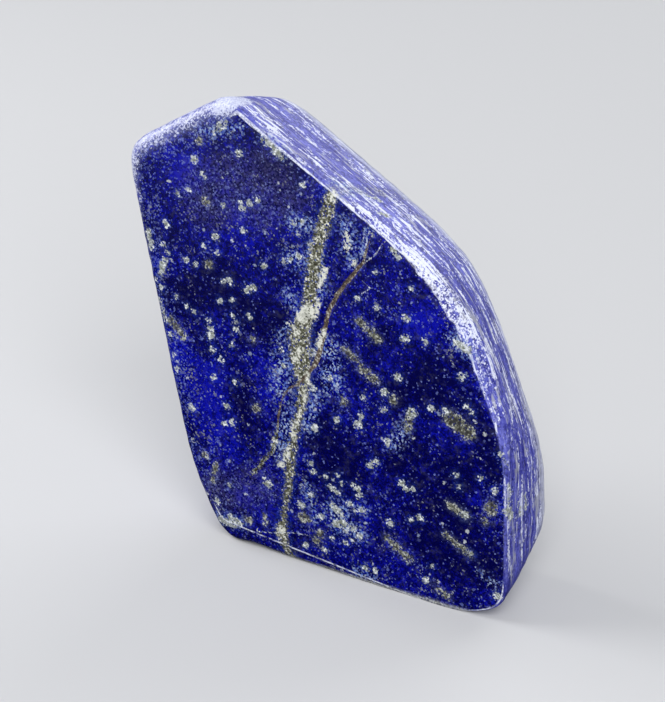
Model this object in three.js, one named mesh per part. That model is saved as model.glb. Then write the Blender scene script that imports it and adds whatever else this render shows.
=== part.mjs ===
import * as THREE from 'three';
import { mergeVertices } from 'three/addons/utils/BufferGeometryUtils.js';

// A standing slab of lapis lazuli in one solid: nine flats ground round the rim, a flat polished
// face towards -Y, a rounded back edge and a sawn base at Z = 0. Millimetres, +Z up.

const THICKNESS = 24.5; // face to face
const LEAN = THREE.MathUtils.degToRad(5); // how far the slab leans back from upright
const HUB = { across: 3, up: 50 }; // the point of the face that every flat is measured from
const CORNER_SHARPNESS = 34; // the power that blends one flat into the next
const RIM_CROWN = 0.6; // how far the rim swells between its two edges
const BACK_EDGE = 4; // radius of the rounded edge round the back

// The bevel below the face, widest at the left foot and running out before the right one.
const FOOT_BEVEL = { rise: 6, setback: 1.4, left: -20, right: 36 };

// The flats, anticlockwise from the base. Each one faces so many degrees (0 right, 90 up) and lies
// so far from the hub: at the border of the polished face, at the rim behind it and at the back.
// Its front edge reaches so deep and is more or less flatly ground (0 round, 1 a plain chamfer).
const FLATS = [
  { side: 'base', faces: -90, face: 51, rim: 51.5, back: 49.5, depth: 1, flatness: 0.3 },
  { side: 'right foot', faces: -64, face: 63.5, rim: 64.5, back: 54, depth: 0.8, flatness: 0.5 },
  { side: 'right belly', faces: 4, face: 48.5, rim: 49.5, back: 49.5, depth: 1, flatness: 0.6 },
  { side: 'right flank', faces: 25, face: 42, rim: 45, back: 39, depth: 3.6, flatness: 0.9 },
  { side: 'right shoulder', faces: 44, face: 41, rim: 44, back: 40, depth: 3.4, flatness: 0.9 },
  { side: 'long top', faces: 60.5, face: 42, rim: 43, back: 41, depth: 1, flatness: 0.6 },
  { side: 'short top', faces: 123, face: 63.5, rim: 70, back: 61, depth: 5.5, flatness: 0 },
  { side: 'left side', faces: 194, face: 37.5, rim: 41, back: 35, depth: 3.5, flatness: 0 },
  { side: 'left foot', faces: 211, face: 43, rim: 46, back: 42, depth: 3, flatness: 0 },
];

const SEGMENTS = 168; // steps round the outline
const EDGE_STEPS = 4; // steps over each of the two edges
const FACE_RINGS = [0, 0.4, 0.75]; // rings on a face, as parts of the way out to its edge
const RIM_RINGS = [0.25, 0.42, 0.58, 0.73]; // rings on the rim, as parts of the thickness

const { degToRad, lerp } = THREE.MathUtils;

// How strongly each flat governs the outline in one direction, and how far away it then lies.
function outline(angle, distanceOf) {
  const pulls = FLATS.map((flat) => {
    const towards = Math.max(0, Math.cos(angle - degToRad(flat.faces)));
    return (towards / distanceOf(flat)) ** CORNER_SHARPNESS;
  });
  const total = pulls.reduce((sum, pull) => sum + pull, 0);
  return { reach: total ** (-1 / CORNER_SHARPNESS), shares: pulls.map((pull) => pull / total) };
}

// A size that each flat states for itself, blended by how strongly each flat governs.
function blended(shares, sizeOf) {
  return FLATS.reduce((sum, flat, index) => sum + shares[index] * sizeOf(flat), 0);
}

// The rim's distance from the hub at a part of the way through the slab.
function rimReach(angle, through) {
  const { reach } = outline(angle, (flat) => lerp(flat.rim, flat.back, through));
  return reach + RIM_CROWN * Math.sin(Math.PI * through);
}

// A point of the slab, from its direction and distance in the face and its depth behind it.
function place(angle, reach, depth) {
  const up = HUB.up + reach * Math.sin(angle);
  return new THREE.Vector3(
    HUB.across + reach * Math.cos(angle),
    up * Math.sin(LEAN) + depth * Math.cos(LEAN) - THICKNESS / 2,
    up * Math.cos(LEAN) - depth * Math.sin(LEAN),
  );
}

// A point of the face from its place across and its height up the leaning face.
function onFace(across, up) {
  return new THREE.Vector3(across, up * Math.sin(LEAN) - THICKNESS / 2, up * Math.cos(LEAN));
}

const SAWN_BASE = new THREE.Plane(new THREE.Vector3(0, 0, -1), 0);
const BEVEL = new THREE.Plane().setFromCoplanarPoints(
  onFace(FOOT_BEVEL.left, FOOT_BEVEL.rise),
  onFace(FOOT_BEVEL.left, 0).add(new THREE.Vector3(0, FOOT_BEVEL.setback, 0)),
  onFace(FOOT_BEVEL.right, 0),
);

// A point of the slab, drawn in to the two planes that cut its foot.
function trimmed(angle, { reach, depth }) {
  const start = place(angle, 0, depth);
  const way = place(angle, 1, depth).sub(start);
  const ray = new THREE.Ray(start, way);
  const cuts = [SAWN_BASE, BEVEL].map((plane) => ray.distanceToPlane(plane) ?? Infinity);
  return ray.at(Math.min(reach, ...cuts), new THREE.Vector3());
}

// The points of a rounded edge between two ends that pulls towards a corner.
function edgeArc(start, corner, end) {
  const curve = new THREE.QuadraticBezierCurve(start, corner, end);
  return curve.getPoints(EDGE_STEPS).map(({ x, y }) => ({ reach: x, depth: y }));
}

// The edge between the face and the rim in one direction.
function frontEdge(angle) {
  const border = outline(angle, (flat) => flat.face).reach;
  const { reach: corner, shares } = outline(angle, (flat) => flat.rim);
  const depth = blended(shares, (flat) => flat.depth);
  const flatness = blended(shares, (flat) => flat.flatness);
  const start = new THREE.Vector2(border, 0);
  const end = new THREE.Vector2(rimReach(angle, depth / THICKNESS), depth);
  const chamfer = start.clone().lerp(end, 0.5);
  return edgeArc(start, new THREE.Vector2(corner, 0).lerp(chamfer, flatness), end);
}

// The rounded edge between the rim and the back in one direction.
function backEdge(angle) {
  const corner = new THREE.Vector2(rimReach(angle, 1), THICKNESS);
  const start = new THREE.Vector2(rimReach(angle, 1 - BACK_EDGE / THICKNESS), THICKNESS - BACK_EDGE);
  return edgeArc(start, corner, new THREE.Vector2(corner.x - BACK_EDGE, THICKNESS));
}

// The section in one direction, from the middle of the face over the rim to the middle of the back.
function section(angle) {
  const front = frontEdge(angle);
  const back = backEdge(angle);
  return [
    ...FACE_RINGS.map((part) => ({ reach: part * front[0].reach, depth: 0 })),
    ...front,
    ...RIM_RINGS.map((part) => ({ reach: rimReach(angle, part), depth: part * THICKNESS })),
    ...back,
    ...FACE_RINGS.toReversed().map((part) => ({ reach: part * back.at(-1).reach, depth: THICKNESS })),
  ];
}

// The stone's skin: a sphere whose poles are the middles of the two faces, with every meridian laid
// along the slab's section in that direction.
function stoneGeometry() {
  const rings = section(0).length - 1;
  const skin = new THREE.SphereGeometry(1, SEGMENTS, rings);
  const position = skin.getAttribute('position');
  for (let segment = 0; segment <= SEGMENTS; segment += 1) {
    const angle = (2 * Math.PI * (segment % SEGMENTS)) / SEGMENTS;
    section(angle).forEach((point, ring) => {
      const { x, y, z } = trimmed(angle, point);
      position.setXYZ(ring * (SEGMENTS + 1) + segment, x, y, z);
    });
  }
  skin.deleteAttribute('normal');
  skin.deleteAttribute('uv');
  const solid = mergeVertices(skin, 1e-4);
  solid.computeBoundingBox();
  const middle = solid.boundingBox.getCenter(new THREE.Vector3());
  solid.translate(-middle.x, -middle.y, 0);
  solid.computeVertexNormals();
  return solid;
}

const lapis = new THREE.MeshStandardMaterial({ color: 0x10157a, roughness: 0.2, metalness: 0 });
const stone = new THREE.Mesh(stoneGeometry(), lapis);
stone.name = 'lapis_stone';

const model = new THREE.Group();
model.add(stone);

export default model;
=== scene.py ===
"""The looks of a standing slab of lapis lazuli: a polished face, a ground rim and a sawn base.

The stone's fine skin is laid along the CAD solid's own sections. Its markings are placed in
millimetres across the face, up it and behind it, and reach the shader as smooth distances.
"""

import logging
import math
from dataclasses import dataclass, field, replace
from enum import Enum
from functools import reduce

import bmesh
import bpy
import numpy as np
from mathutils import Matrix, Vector, noise


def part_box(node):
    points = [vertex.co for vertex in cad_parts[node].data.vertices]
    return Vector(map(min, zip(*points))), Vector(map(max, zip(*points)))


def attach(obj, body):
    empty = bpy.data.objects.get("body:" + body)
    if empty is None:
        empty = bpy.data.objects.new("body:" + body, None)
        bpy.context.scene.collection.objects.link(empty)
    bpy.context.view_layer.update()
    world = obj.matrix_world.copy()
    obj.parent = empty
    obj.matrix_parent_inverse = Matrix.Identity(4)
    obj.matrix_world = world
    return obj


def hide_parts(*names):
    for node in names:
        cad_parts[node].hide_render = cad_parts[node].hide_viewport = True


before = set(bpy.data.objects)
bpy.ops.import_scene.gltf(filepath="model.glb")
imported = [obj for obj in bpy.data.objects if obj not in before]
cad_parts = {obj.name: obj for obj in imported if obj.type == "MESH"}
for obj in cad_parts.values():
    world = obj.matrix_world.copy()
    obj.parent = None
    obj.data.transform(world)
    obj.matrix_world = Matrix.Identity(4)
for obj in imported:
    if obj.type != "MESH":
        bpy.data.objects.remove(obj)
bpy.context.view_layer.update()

LOG = logging.getLogger("lapis")

MM = 0.001  # metres in a millimetre
LEAN = math.radians(5)  # how far the slab leans back from upright
STONE_NODE = "lapis_stone"  # the CAD solid that the visible stone stands for
BAKE_MAP = "OFBake"
SEED = 7
TINY = 1e-9  # keeps what is divided by above 0


# ---------------------------------------------------------------- places in the slab


@dataclass(frozen=True)
class SlabSpace:
    """Millimetre places in the slab: across its face, up the face and behind it.

    Attributes:
        lean: How far the face leans back from upright, in radians.
        foot: Where the face meets the floor, along the frame's y, in millimetres.
    """

    lean: float
    foot: float

    def from_frame(self, points: np.ndarray) -> np.ndarray:
        """Turns frame points into slab places.

        Args:
            points: Rows of x, y and z in metres.

        Returns:
            Rows of across, up and depth in millimetres.
        """
        x, y, z = (points / MM).T
        back = y - self.foot
        up = back * math.sin(self.lean) + z * math.cos(self.lean)
        depth = back * math.cos(self.lean) - z * math.sin(self.lean)
        return np.stack([x, up, depth], axis=1)

    def to_frame(self, places: np.ndarray) -> np.ndarray:
        """Turns slab places into frame points.

        Args:
            places: Rows of across, up and depth in millimetres.

        Returns:
            Rows of x, y and z in metres.
        """
        across, up, depth = places.T
        y = self.foot + up * math.sin(self.lean) + depth * math.cos(self.lean)
        z = up * math.cos(self.lean) - depth * math.sin(self.lean)
        return np.stack([across, y, z], axis=1) * MM


def eased(values: np.ndarray, low: float, high: float) -> np.ndarray:
    """A soft step from 0 at low to 1 at high, or the other way round where low is larger."""
    share = np.clip((values - low) / (high - low), 0, 1)
    return share * share * (3 - 2 * share)


def waves(places: np.ndarray, size: float, seed: int = 0) -> np.ndarray:
    """Smooth noise of about -1 to 1 at some places, with bumps of one size."""
    moved = places / size + SEED + 17.0 * seed
    return np.array([noise.noise(Vector(place)) for place in moved])


# ---------------------------------------------------------------- the stone's form


class Band(Enum):
    """The parts of the stone's skin."""

    FACE = "face"
    RIM = "rim"
    BACK = "back"


@dataclass(frozen=True)
class Ring:
    """One closed row of points round the stone.

    Attributes:
        band: The part of the skin between this ring and the one before it.
        places: Rows of across, up and depth in millimetres, one for each direction.
        past: How far the ring lies past the border of the polished face, in millimetres over
            the skin: less than 0 on the face, and the same kind of rows as places.
    """

    band: Band
    places: np.ndarray
    past: np.ndarray


def evened(values: np.ndarray, passes: int, axis: int, closed: bool) -> np.ndarray:
    """Evens out a row of values in short steps.

    Args:
        values: The values.
        passes: How often each value is drawn to its neighbours.
        axis: The axis that the row runs along.
        closed: Whether the row's ends meet. The ends of an open row stay.

    Returns:
        The evened values.
    """
    values = np.moveaxis(values.astype(float), axis, 0)
    for _ in range(passes):
        step = values / 2 + (np.roll(values, 1, axis=0) + np.roll(values, -1, axis=0)) / 4
        if not closed:
            step[0], step[-1] = values[0], values[-1]
        values = step
    return np.moveaxis(values, 0, axis)


@dataclass(frozen=True)
class CadSections:
    """The CAD solid as sections: one in every direction round the hub of its face.

    Attributes:
        node: The name of the CAD node.
        space: The slab's own space.
        face_rings: How many rings the solid has on the face between the hub and the edge.
        edge_points: How many points go over each of its two edges.
        join: How near each other points are that are one, in millimetres.
        flush: How near the face or its hub a point is that is on it, in millimetres.
        least_turn: The least angle between two directions, in radians.
        hub_drop: How far below the middle of the face the hub lies, in millimetres.
    """

    node: str
    space: SlabSpace
    face_rings: int = 2
    edge_points: int = 5
    join: float = 0.001
    flush: float = 0.01
    least_turn: float = 0.001
    hub_drop: float = 6.0

    def corners(self) -> np.ndarray:
        """The solid's corner points, each one once.

        Returns:
            Slab places.
        """
        work = bmesh.new()
        work.from_mesh(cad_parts[self.node].data)
        bmesh.ops.remove_doubles(work, verts=work.verts, dist=self.join * MM)
        points = np.array([vert.co for vert in work.verts])
        work.free()
        return self.space.from_frame(points)

    def sorted(self) -> tuple[np.ndarray, np.ndarray]:
        """Sorts the corner points into sections.

        Returns:
            The hub's place across and up the face, and the sections by direction. Each holds
            its points' reach from the hub and depth behind the face, from the face to the back.
        """
        places = self.corners()
        thickness = places[:, 2].max()
        lowest, highest = places.min(axis=0), places.max(axis=0)
        middle = (lowest + highest)[:2] / 2 - (0, self.hub_drop)
        face = places[places[:, 2] < self.flush, :2]
        hub = face[np.argmin(np.hypot(*(face - middle).T))]
        across, up = (places[:, :2] - hub).T
        reach = np.hypot(across, up)
        off_hub = reach > self.flush
        angle = np.arctan2(up, across)[off_hub] % math.tau
        reach, depth = reach[off_hub], places[off_hub, 2]
        gaps = np.diff(np.sort(angle))
        count = round(math.tau / gaps[gaps > self.least_turn].mean())
        direction = np.round(angle / math.tau * count).astype(int) % count
        station = np.arctan2(reach, thickness / 2 - depth)
        order = np.lexsort((station, direction))
        return hub, np.stack([reach, depth], axis=1)[order].reshape(count, -1, 2)


@dataclass
class StoneForm:
    """The fine skin of the stone, laid along the CAD solid's sections.

    Attributes:
        cad: The CAD solid's sections.
        refine: How many fine directions go into one of the solid's own.
        edge_rows: How many rows go into each step over an edge.
        rim_rows: How many rows go into each step across the rim.
        face_step: The spacing of the rings on the face, in parts of the way out.
        back_step: The same on the back.
        most_halvings: How often the points of a ring are halved towards the hub, at most.
        outline_passes: How strongly the outline's small facets are evened out.
        section_passes: How strongly the section's small facets are evened out.
        apex: The directions, in degrees, between which two ground flats meet in a crisp corner.
        apex_rows: How many rows out from the face's border the crisp corner fades.
    """

    cad: CadSections
    refine: int = 4
    edge_rows: int = 3
    rim_rows: int = 6
    face_step: float = 0.0105
    back_step: float = 0.021
    most_halvings: int = 3
    outline_passes: int = 8
    section_passes: int = 8
    apex: tuple[float, float] = (98.0, 122.0)
    apex_rows: int = 9
    hub: np.ndarray = field(init=False)
    sections: np.ndarray = field(init=False)

    def __post_init__(self) -> None:
        """Works out the fine sections over the rim and its two edges."""
        self.hub, sections = self.cad.sorted()
        inner = self.cad.face_rings
        sections = self.finer_directions(sections[:, inner:sections.shape[1] - inner])
        rows = np.array([self.finer_section(section) for section in sections])
        self.sections = evened(rows, self.section_passes, axis=1, closed=False)
        for row in range(self.apex_rows):
            self.crisp_apex(row, 1 - row / self.apex_rows)

    def finer_directions(self, sections: np.ndarray) -> np.ndarray:
        """Puts evened sections between the solid's own.

        Args:
            sections: Reach and depth by direction and station.

        Returns:
            The sections in all the fine directions.
        """
        count = len(sections)
        fine = np.arange(count * self.refine) / self.refine
        low = fine.astype(int)
        share = (fine - low)[:, None, None]
        between = sections[low] * (1 - share) + sections[(low + 1) % count] * share
        return evened(between, self.outline_passes, axis=0, closed=True)

    def finer_section(self, section: np.ndarray) -> np.ndarray:
        """Spreads rows over the edges and the rim of one section.

        Args:
            section: Reach and depth by station.

        Returns:
            Reach and depth by row, with as many rows in every section.
        """
        edge_steps = self.cad.edge_points - 1
        spans = len(section) - 1
        rows = [0.0]
        for span in range(spans):
            on_edge = span < edge_steps or span >= spans - edge_steps
            count = self.edge_rows if on_edge else self.rim_rows
            rows.extend(span + (row + 1) / count for row in range(count))
        stations = np.arange(spans + 1)
        return np.stack([np.interp(rows, stations, side) for side in section.T], axis=1)

    def crisp_apex(self, row: int, weight: float) -> None:
        """Draws one row's corner at the apex out to where the runs on both sides of it meet.

        Args:
            row: The row of the sections.
            weight: How far it is drawn out, from 0 to 1.
        """
        reach = self.sections[:, row, 0]
        angle = np.arange(len(reach)) * math.tau / len(reach)
        points = np.stack([reach * np.cos(angle), reach * np.sin(angle)], axis=1)
        run = np.gradient(points, axis=0)
        outward = np.stack([run[:, 1], -run[:, 0]], axis=1) / np.linalg.norm(run, axis=1)[:, None]
        ends = [round(math.radians(end) / math.tau * len(reach)) for end in self.apex]
        inside = slice(ends[0], ends[1] + 1)
        ways = points[inside] / reach[inside, None]
        lines = [points[end] @ outward[end] / (ways @ outward[end]) for end in ends]
        corner = np.minimum(*lines)
        reach[inside] += weight * (corner - reach[inside])

    def placed(self, reach: np.ndarray, depth: np.ndarray) -> np.ndarray:
        """Places points in evenly spread directions from the hub.

        Args:
            reach: How far from the hub each point lies, by direction.
            depth: How far behind the face it lies.

        Returns:
            Slab places.
        """
        angle = np.arange(len(reach)) * math.tau / len(reach)
        across = self.hub[0] + reach * np.cos(angle)
        up = self.hub[1] + reach * np.sin(angle)
        return np.stack([across, up, depth], axis=1)

    def flat_rings(self, band: Band, row: int, step: float, stride: int) -> list[Ring]:
        """The rings of the face or the back, from its border in to the hub.

        Args:
            band: The face or the back.
            row: The row of the sections that is the band's border.
            step: The rings' spacing, in parts of the way out.
            stride: How many fine directions one step round the first ring takes.

        Returns:
            The rings. Each has half the points of the one before where the way has halved.
        """
        border = self.sections[:, row]
        turn = np.gradient(border[:, 0]) * len(border) / math.tau
        slant = np.cos(np.arctan2(turn, border[:, 0]))
        rings = []
        for part in np.arange(1 - step, step, -step):
            halvings = min(int(-math.log2(part)), self.most_halvings)
            kept = slice(None, None, stride * 2**halvings)
            reach, depth = border[kept].T
            past = -reach * (1 - part) * slant[kept]
            rings.append(Ring(band, self.placed(reach * part, depth), past))
        return rings

    def rings(self) -> list[Ring]:
        """Lays out every ring of the skin.

        Returns:
            The rings, from the one round the face's hub to the one round the back's.
        """
        front = self.flat_rings(Band.FACE, 0, self.face_step, 1)
        back = self.flat_rings(Band.BACK, -1, self.back_step, 2)
        steps = np.hypot(*np.moveaxis(np.diff(self.sections, axis=1), 2, 0))
        past = np.pad(np.cumsum(steps, axis=1), ((0, 0), (1, 0)))
        middle = []
        for row in range(self.sections.shape[1]):
            band = Band.RIM if row else Band.FACE
            reach, depth = self.sections[:, row].T
            middle.append(Ring(band, self.placed(reach, depth), past[:, row]))
        whole = past[:, -1].max()
        back = [Ring(ring.band, ring.places, whole - ring.past) for ring in back]
        return front[::-1] + middle + back


@dataclass(frozen=True)
class Islands:
    """How the skin is laid out on its map: the face, the back and the rim in two strips.

    Attributes:
        margin: The space left round each island, in parts of the map.
        face_scale: Parts of the map in a millimetre of the face.
        back_scale: The same on the back.
        strip_height: How much of the map's height each half of the rim takes.
    """

    margin: float = 0.006
    face_scale: float = 0.0057
    back_scale: float = 0.0040
    strip_height: float = 0.165

    def flat(self, places: np.ndarray, band: Band) -> np.ndarray:
        """Map places of points on the face or the back.

        Args:
            places: Slab places.
            band: The face or the back.

        Returns:
            Rows of two map coordinates.
        """
        across, up = places[:, 0], places[:, 1]
        base = 2 * (self.margin + self.strip_height) + self.margin
        if band is Band.FACE:
            left, scale = self.margin, self.face_scale
            run = across - across.min()
        else:
            left, scale = 1 - self.margin - np.ptp(across) * self.back_scale, self.back_scale
            run = across.max() - across
        return np.stack([left + run * scale, base + (up - up.min()) * scale], axis=1)

    def strip(self, turn: np.ndarray, over: np.ndarray) -> np.ndarray:
        """Map places of face corners on the rim.

        Args:
            turn: How far round the rim each corner is, by rows of one face each, from 0 to 1.
            over: How far over the rim each corner is, from 0 to 1.

        Returns:
            Two map coordinates for each corner.
        """
        second = (turn.mean(axis=1) > 0.5)[:, None]
        run = np.where(second, turn - 0.5, turn) * 2
        base = self.margin + second * (self.strip_height + self.margin)
        across = self.margin + run * (1 - 2 * self.margin)
        return np.stack([across, base + over * self.strip_height], axis=-1)


@dataclass(frozen=True)
class Patch:
    """Faces of one band that have the same number of corners.

    Attributes:
        band: The part of the skin.
        corners: The points of each face, by rows.
        turns: How far round the stone each corner is, from 0 to 1.
    """

    band: Band
    corners: np.ndarray
    turns: np.ndarray


# The faces between two rings, by how many points the outer one has for each inner one. Each corner
# is 0 on the ring nearer the face's hub or 1 on the other, and so many points ahead.
STITCHES = {
    1: [[(0, 0), (1, 0), (1, 1), (0, 1)]],
    2: [[(0, 0), (1, 0), (1, 1)], [(0, 0), (1, 1), (0, 1)], [(0, 1), (1, 1), (1, 2)]],
    0.5: [[(0, 0), (1, 0), (0, 1)], [(0, 1), (1, 0), (1, 1)], [(0, 1), (1, 1), (0, 2)]],
}


@dataclass
class StoneSkin:
    """The stone's mesh, built ring by ring.

    Attributes:
        form: The stone's form.
        islands: The layout of its map.
    """

    form: StoneForm
    islands: Islands = Islands()
    rings: list[Ring] = field(init=False)
    places: np.ndarray = field(init=False)
    past: np.ndarray = field(init=False)
    turn: np.ndarray = field(init=False)

    def __post_init__(self) -> None:
        """Gathers the rings' points, between the hubs of the face and the back."""
        self.rings = self.form.rings()
        depths = self.form.sections[0, [0, -1], 1]
        hubs = np.array([[*self.form.hub, depth] for depth in depths])
        self.places = np.concatenate([hubs[:1], *(ring.places for ring in self.rings), hubs[1:]])
        ends = [self.rings[0].past.min()], [self.rings[-1].past.max()]
        self.past = np.concatenate([ends[0], *(ring.past for ring in self.rings), ends[1]])
        turns = [np.arange(len(ring.past)) / len(ring.past) for ring in self.rings]
        self.turn = np.concatenate([[0], *turns, [0]])

    def patches(self) -> list[Patch]:
        """Stitches the rings together.

        Returns:
            All the faces, ring by ring, with a fan at each hub.
        """
        count = len(self.rings[0].past)
        step = np.arange(count)
        fan = np.stack([0 * step, 1 + step, 1 + (step + 1) % count], axis=1)
        made = [Patch(Band.FACE, fan, fan * 0.0)]
        first = 1
        for ring in self.rings[1:]:
            bases, counts = (first, first + count), (count, len(ring.past))
            fewest = min(counts)
            for pattern in STITCHES[counts[1] / counts[0]]:
                at = [np.arange(fewest) * (counts[side] // fewest) + ahead for side, ahead in pattern]
                sides = [side for side, _ in pattern]
                corners = [bases[side] + here % counts[side] for side, here in zip(sides, at)]
                turns = [here / counts[side] for side, here in zip(sides, at)]
                made.append(Patch(ring.band, np.stack(corners, 1), np.stack(turns, 1)))
            first, count = bases[1], counts[1]
        step = np.arange(count)
        fan = np.stack([first + step, first + count + 0 * step, first + (step + 1) % count], axis=1)
        return [*made, Patch(Band.BACK, fan, fan * 0.0)]

    def girth(self) -> np.ndarray:
        """Measures the way round the middle of the rim.

        Returns:
            How far round each fine direction lies, and the whole way last.
        """
        sections = self.form.sections
        rim = self.form.placed(*sections[:, sections.shape[1] // 2].T)
        steps = np.linalg.norm(np.roll(rim, -1, axis=0) - rim, axis=1)
        return np.concatenate([[0], np.cumsum(steps)])

    def way_round(self, turns: np.ndarray) -> np.ndarray:
        """How far round the rim some directions are, as a part of its length."""
        girth = self.girth()
        return np.interp(turns, np.linspace(0, 1, len(girth)), girth / girth[-1])

    def map_places(self, patches: list[Patch]) -> np.ndarray:
        """Lays the skin out on its map.

        Args:
            patches: All the faces.

        Returns:
            The map coordinates of every face corner, in the faces' order.
        """
        flat = {}
        for band in (Band.FACE, Band.BACK):
            used = np.unique(np.concatenate([p.corners.ravel() for p in patches if p.band is band]))
            flat[band] = np.zeros((len(self.places), 2))
            flat[band][used] = self.islands.flat(self.places[used], band)
        whole = max(ring.past.max() for ring in self.rings if ring.band is Band.RIM)
        rows = []
        for patch in patches:
            if patch.band is Band.RIM:
                over = self.past[patch.corners] / whole
                rows.append(self.islands.strip(self.way_round(patch.turns), over))
            else:
                rows.append(flat[patch.band][patch.corners])
        return np.concatenate([row.reshape(-1, 2) for row in rows])

    def mesh(self, name: str) -> bpy.types.Mesh:
        """Makes the mesh, smooth all over, with its map.

        Args:
            name: The mesh's name.

        Returns:
            The mesh.
        """
        patches = self.patches()
        faces = [face for patch in patches for face in patch.corners.tolist()]
        mesh = bpy.data.meshes.new(name)
        mesh.from_pydata(self.form.cad.space.to_frame(self.places), [], faces)
        mesh.shade_smooth()
        chart = mesh.uv_layers.new(name=BAKE_MAP)
        chart.uv.foreach_set("vector", self.map_places(patches).astype(np.float32).ravel())
        return mesh


# ---------------------------------------------------------------- the stone's markings


@dataclass(frozen=True)
class Streak:
    """A rounded inclusion between two places on the face.

    Attributes:
        start: One end, across and up, in millimetres, with its depth where it isn't in the face.
        end: The other end.
        radius: Half its width, in millimetres.
    """

    start: tuple[float, ...]
    end: tuple[float, ...]
    radius: float


def inclusions(*rows: tuple[float, ...]) -> tuple[Streak, ...]:
    """Makes inclusions from rows of numbers, in millimetres.

    Args:
        rows: The place of a round one, or both ends of a long one, and half its width. A place is
            across and up, with its depth too where a long one isn't in the face.

    Returns:
        The inclusions.
    """
    made = []
    for *ends, radius in rows:
        count = max(len(ends) // 2, 2)
        made.append(Streak(tuple(ends[:count]), tuple(ends[-count:]), radius))
    return tuple(made)


@dataclass(frozen=True)
class Seam:
    """A vein or crack that runs through the slab.

    Attributes:
        course: Points of its middle line on the face with half its width there, in millimetres.
        drift: How far it moves across and up for each millimetre of depth.
    """

    course: tuple[tuple[float, float, float], ...]
    drift: tuple[float, float] = (0.0, 0.0)


MAIN_VEIN = Seam(
    (
        (2.5, 98, 1.4), (1.5, 93.5, 1.6), (0, 86.5, 1.6), (-1, 83, 1.6), (-1.5, 77.5, 1.9),
        (-2, 72, 1.8), (-2.3, 66.5, 1.8), (-4, 62, 2.4), (-4.5, 58.5, 2.9), (-3.8, 53, 2.7),
        (-3, 47.5, 1.6), (-3.3, 42, 1.1), (-4, 38.3, 1.1), (-5, 32.5, 1.0), (-5.7, 26.5, 1.2),
        (-5.8, 20.5, 1.1), (-6.4, 16, 0.7), (-6.8, 11, 0.9), (-7.3, 7.5, 1.5), (-6.5, 4.5, 1.2),
        (-5.3, 1.5, 1.2), (-4, -2, 1.2),
    ),
    drift=(0.5, 0.1),
)
BROWN_CRACK = Seam(
    (
        (12.9, 90, 0.05), (11.9, 86, 0.2), (11, 82, 0.4), (8.3, 78, 0.5), (5, 73, 0.5),
        (2.8, 68, 0.5), (1.7, 61.5, 0.55), (1, 57.7, 0.6), (0, 54, 0.6), (-2.1, 50.5, 0.45),
        (-4.7, 47.2, 0.3), (-6.7, 45.9, 0.25), (-8.1, 43.7, 0.2), (-8.8, 41.7, 0.2),
        (-9, 39.9, 0.2), (-9.5, 37.1, 0.25), (-9.4, 34.6, 0.2),
    ),
    drift=(0.2, -0.05),
)
PALE_BRANCH = Seam(
    (
        (-9.4, 35.5, 0.15), (-9.6, 33, 0.4), (-10.1, 30.6, 0.55), (-10.4, 28.5, 0.5),
        (-11.6, 26.5, 0.4), (-13.3, 24.6, 0.6), (-15.1, 21.5, 0.5), (-16.5, 19.8, 0.2),
    ),
    drift=(0.2, -0.05),
)
HAIRLINES = (
    Seam(((16.2, 88.5, 0.1), (13.8, 84.3, 0.12), (11.4, 82, 0.1))),
    Seam(((-13.5, 5.4, 0.1), (-9, 6.4, 0.1), (-3.6, 8, 0.12), (-0.6, 8.3, 0.12), (3.8, 7.7, 0.05))),
    Seam((
        (11.1, 77.5, 0.08), (12.2, 76.8, 0.1), (13.2, 76.3, 0.1), (12.2, 75.3, 0.1), (11, 74.3, 0.06),
    )),
    Seam(((12.4, 90.2, 0.05), (11.6, 88.6, 0.1), (11.9, 87.2, 0.1), (10.6, 84.6, 0.06))),
    Seam(((11.2, 90.3, 0.05), (10.9, 88.2, 0.1), (10.4, 86.8, 0.06))),
)
OLIVE_STREAKS = inclusions(
    (-39.3, 55.3, -36, 52.4, 1.0), (10.8, 67.5, 15.9, 64.2, 0.9), (7.6, 59.4, 10.3, 57.8, 0.8),
    (11.9, 55.9, 16, 53.7, 0.9), (35.2, 49.2, 39.8, 46.8, 1.9), (25, 47, 24.6, 43.4, 0.8),
    (36.7, 27.1, 40.9, 25.4, 0.8), (47, 29.3, 47, 29, 1.6), (36, 19.2, 42.6, 15.5, 0.6),
    (21, 13.8, 27, 9.9, 0.8), (35, 4.2, 37.7, 2.9, 0.7), (-26, 20.5, -26.7, 15.6, 0.5),
    (-12, 10.5, -11.9, 7.7, 0.4), (20.6, 49.9, 1.0), (8, 46.1, 1.0), (45.7, 25.5, 0.8),
    (-30.4, 88, 1.0), (-32.6, 102.6, 0.9), (-29.2, 72.2, 1.0), (-16.8, 55.9, 0.8), (-15.4, 38.4, 1.0),
    (-29.2, 22, 0.8), (-1.1, 12.8, 1.4), (3.2, 9.7, 1.0), (2.4, 7.5, 1.0), (-16.4, 7.8, 0.9),
    (23.5, 12.1, 1.0),
)
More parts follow.
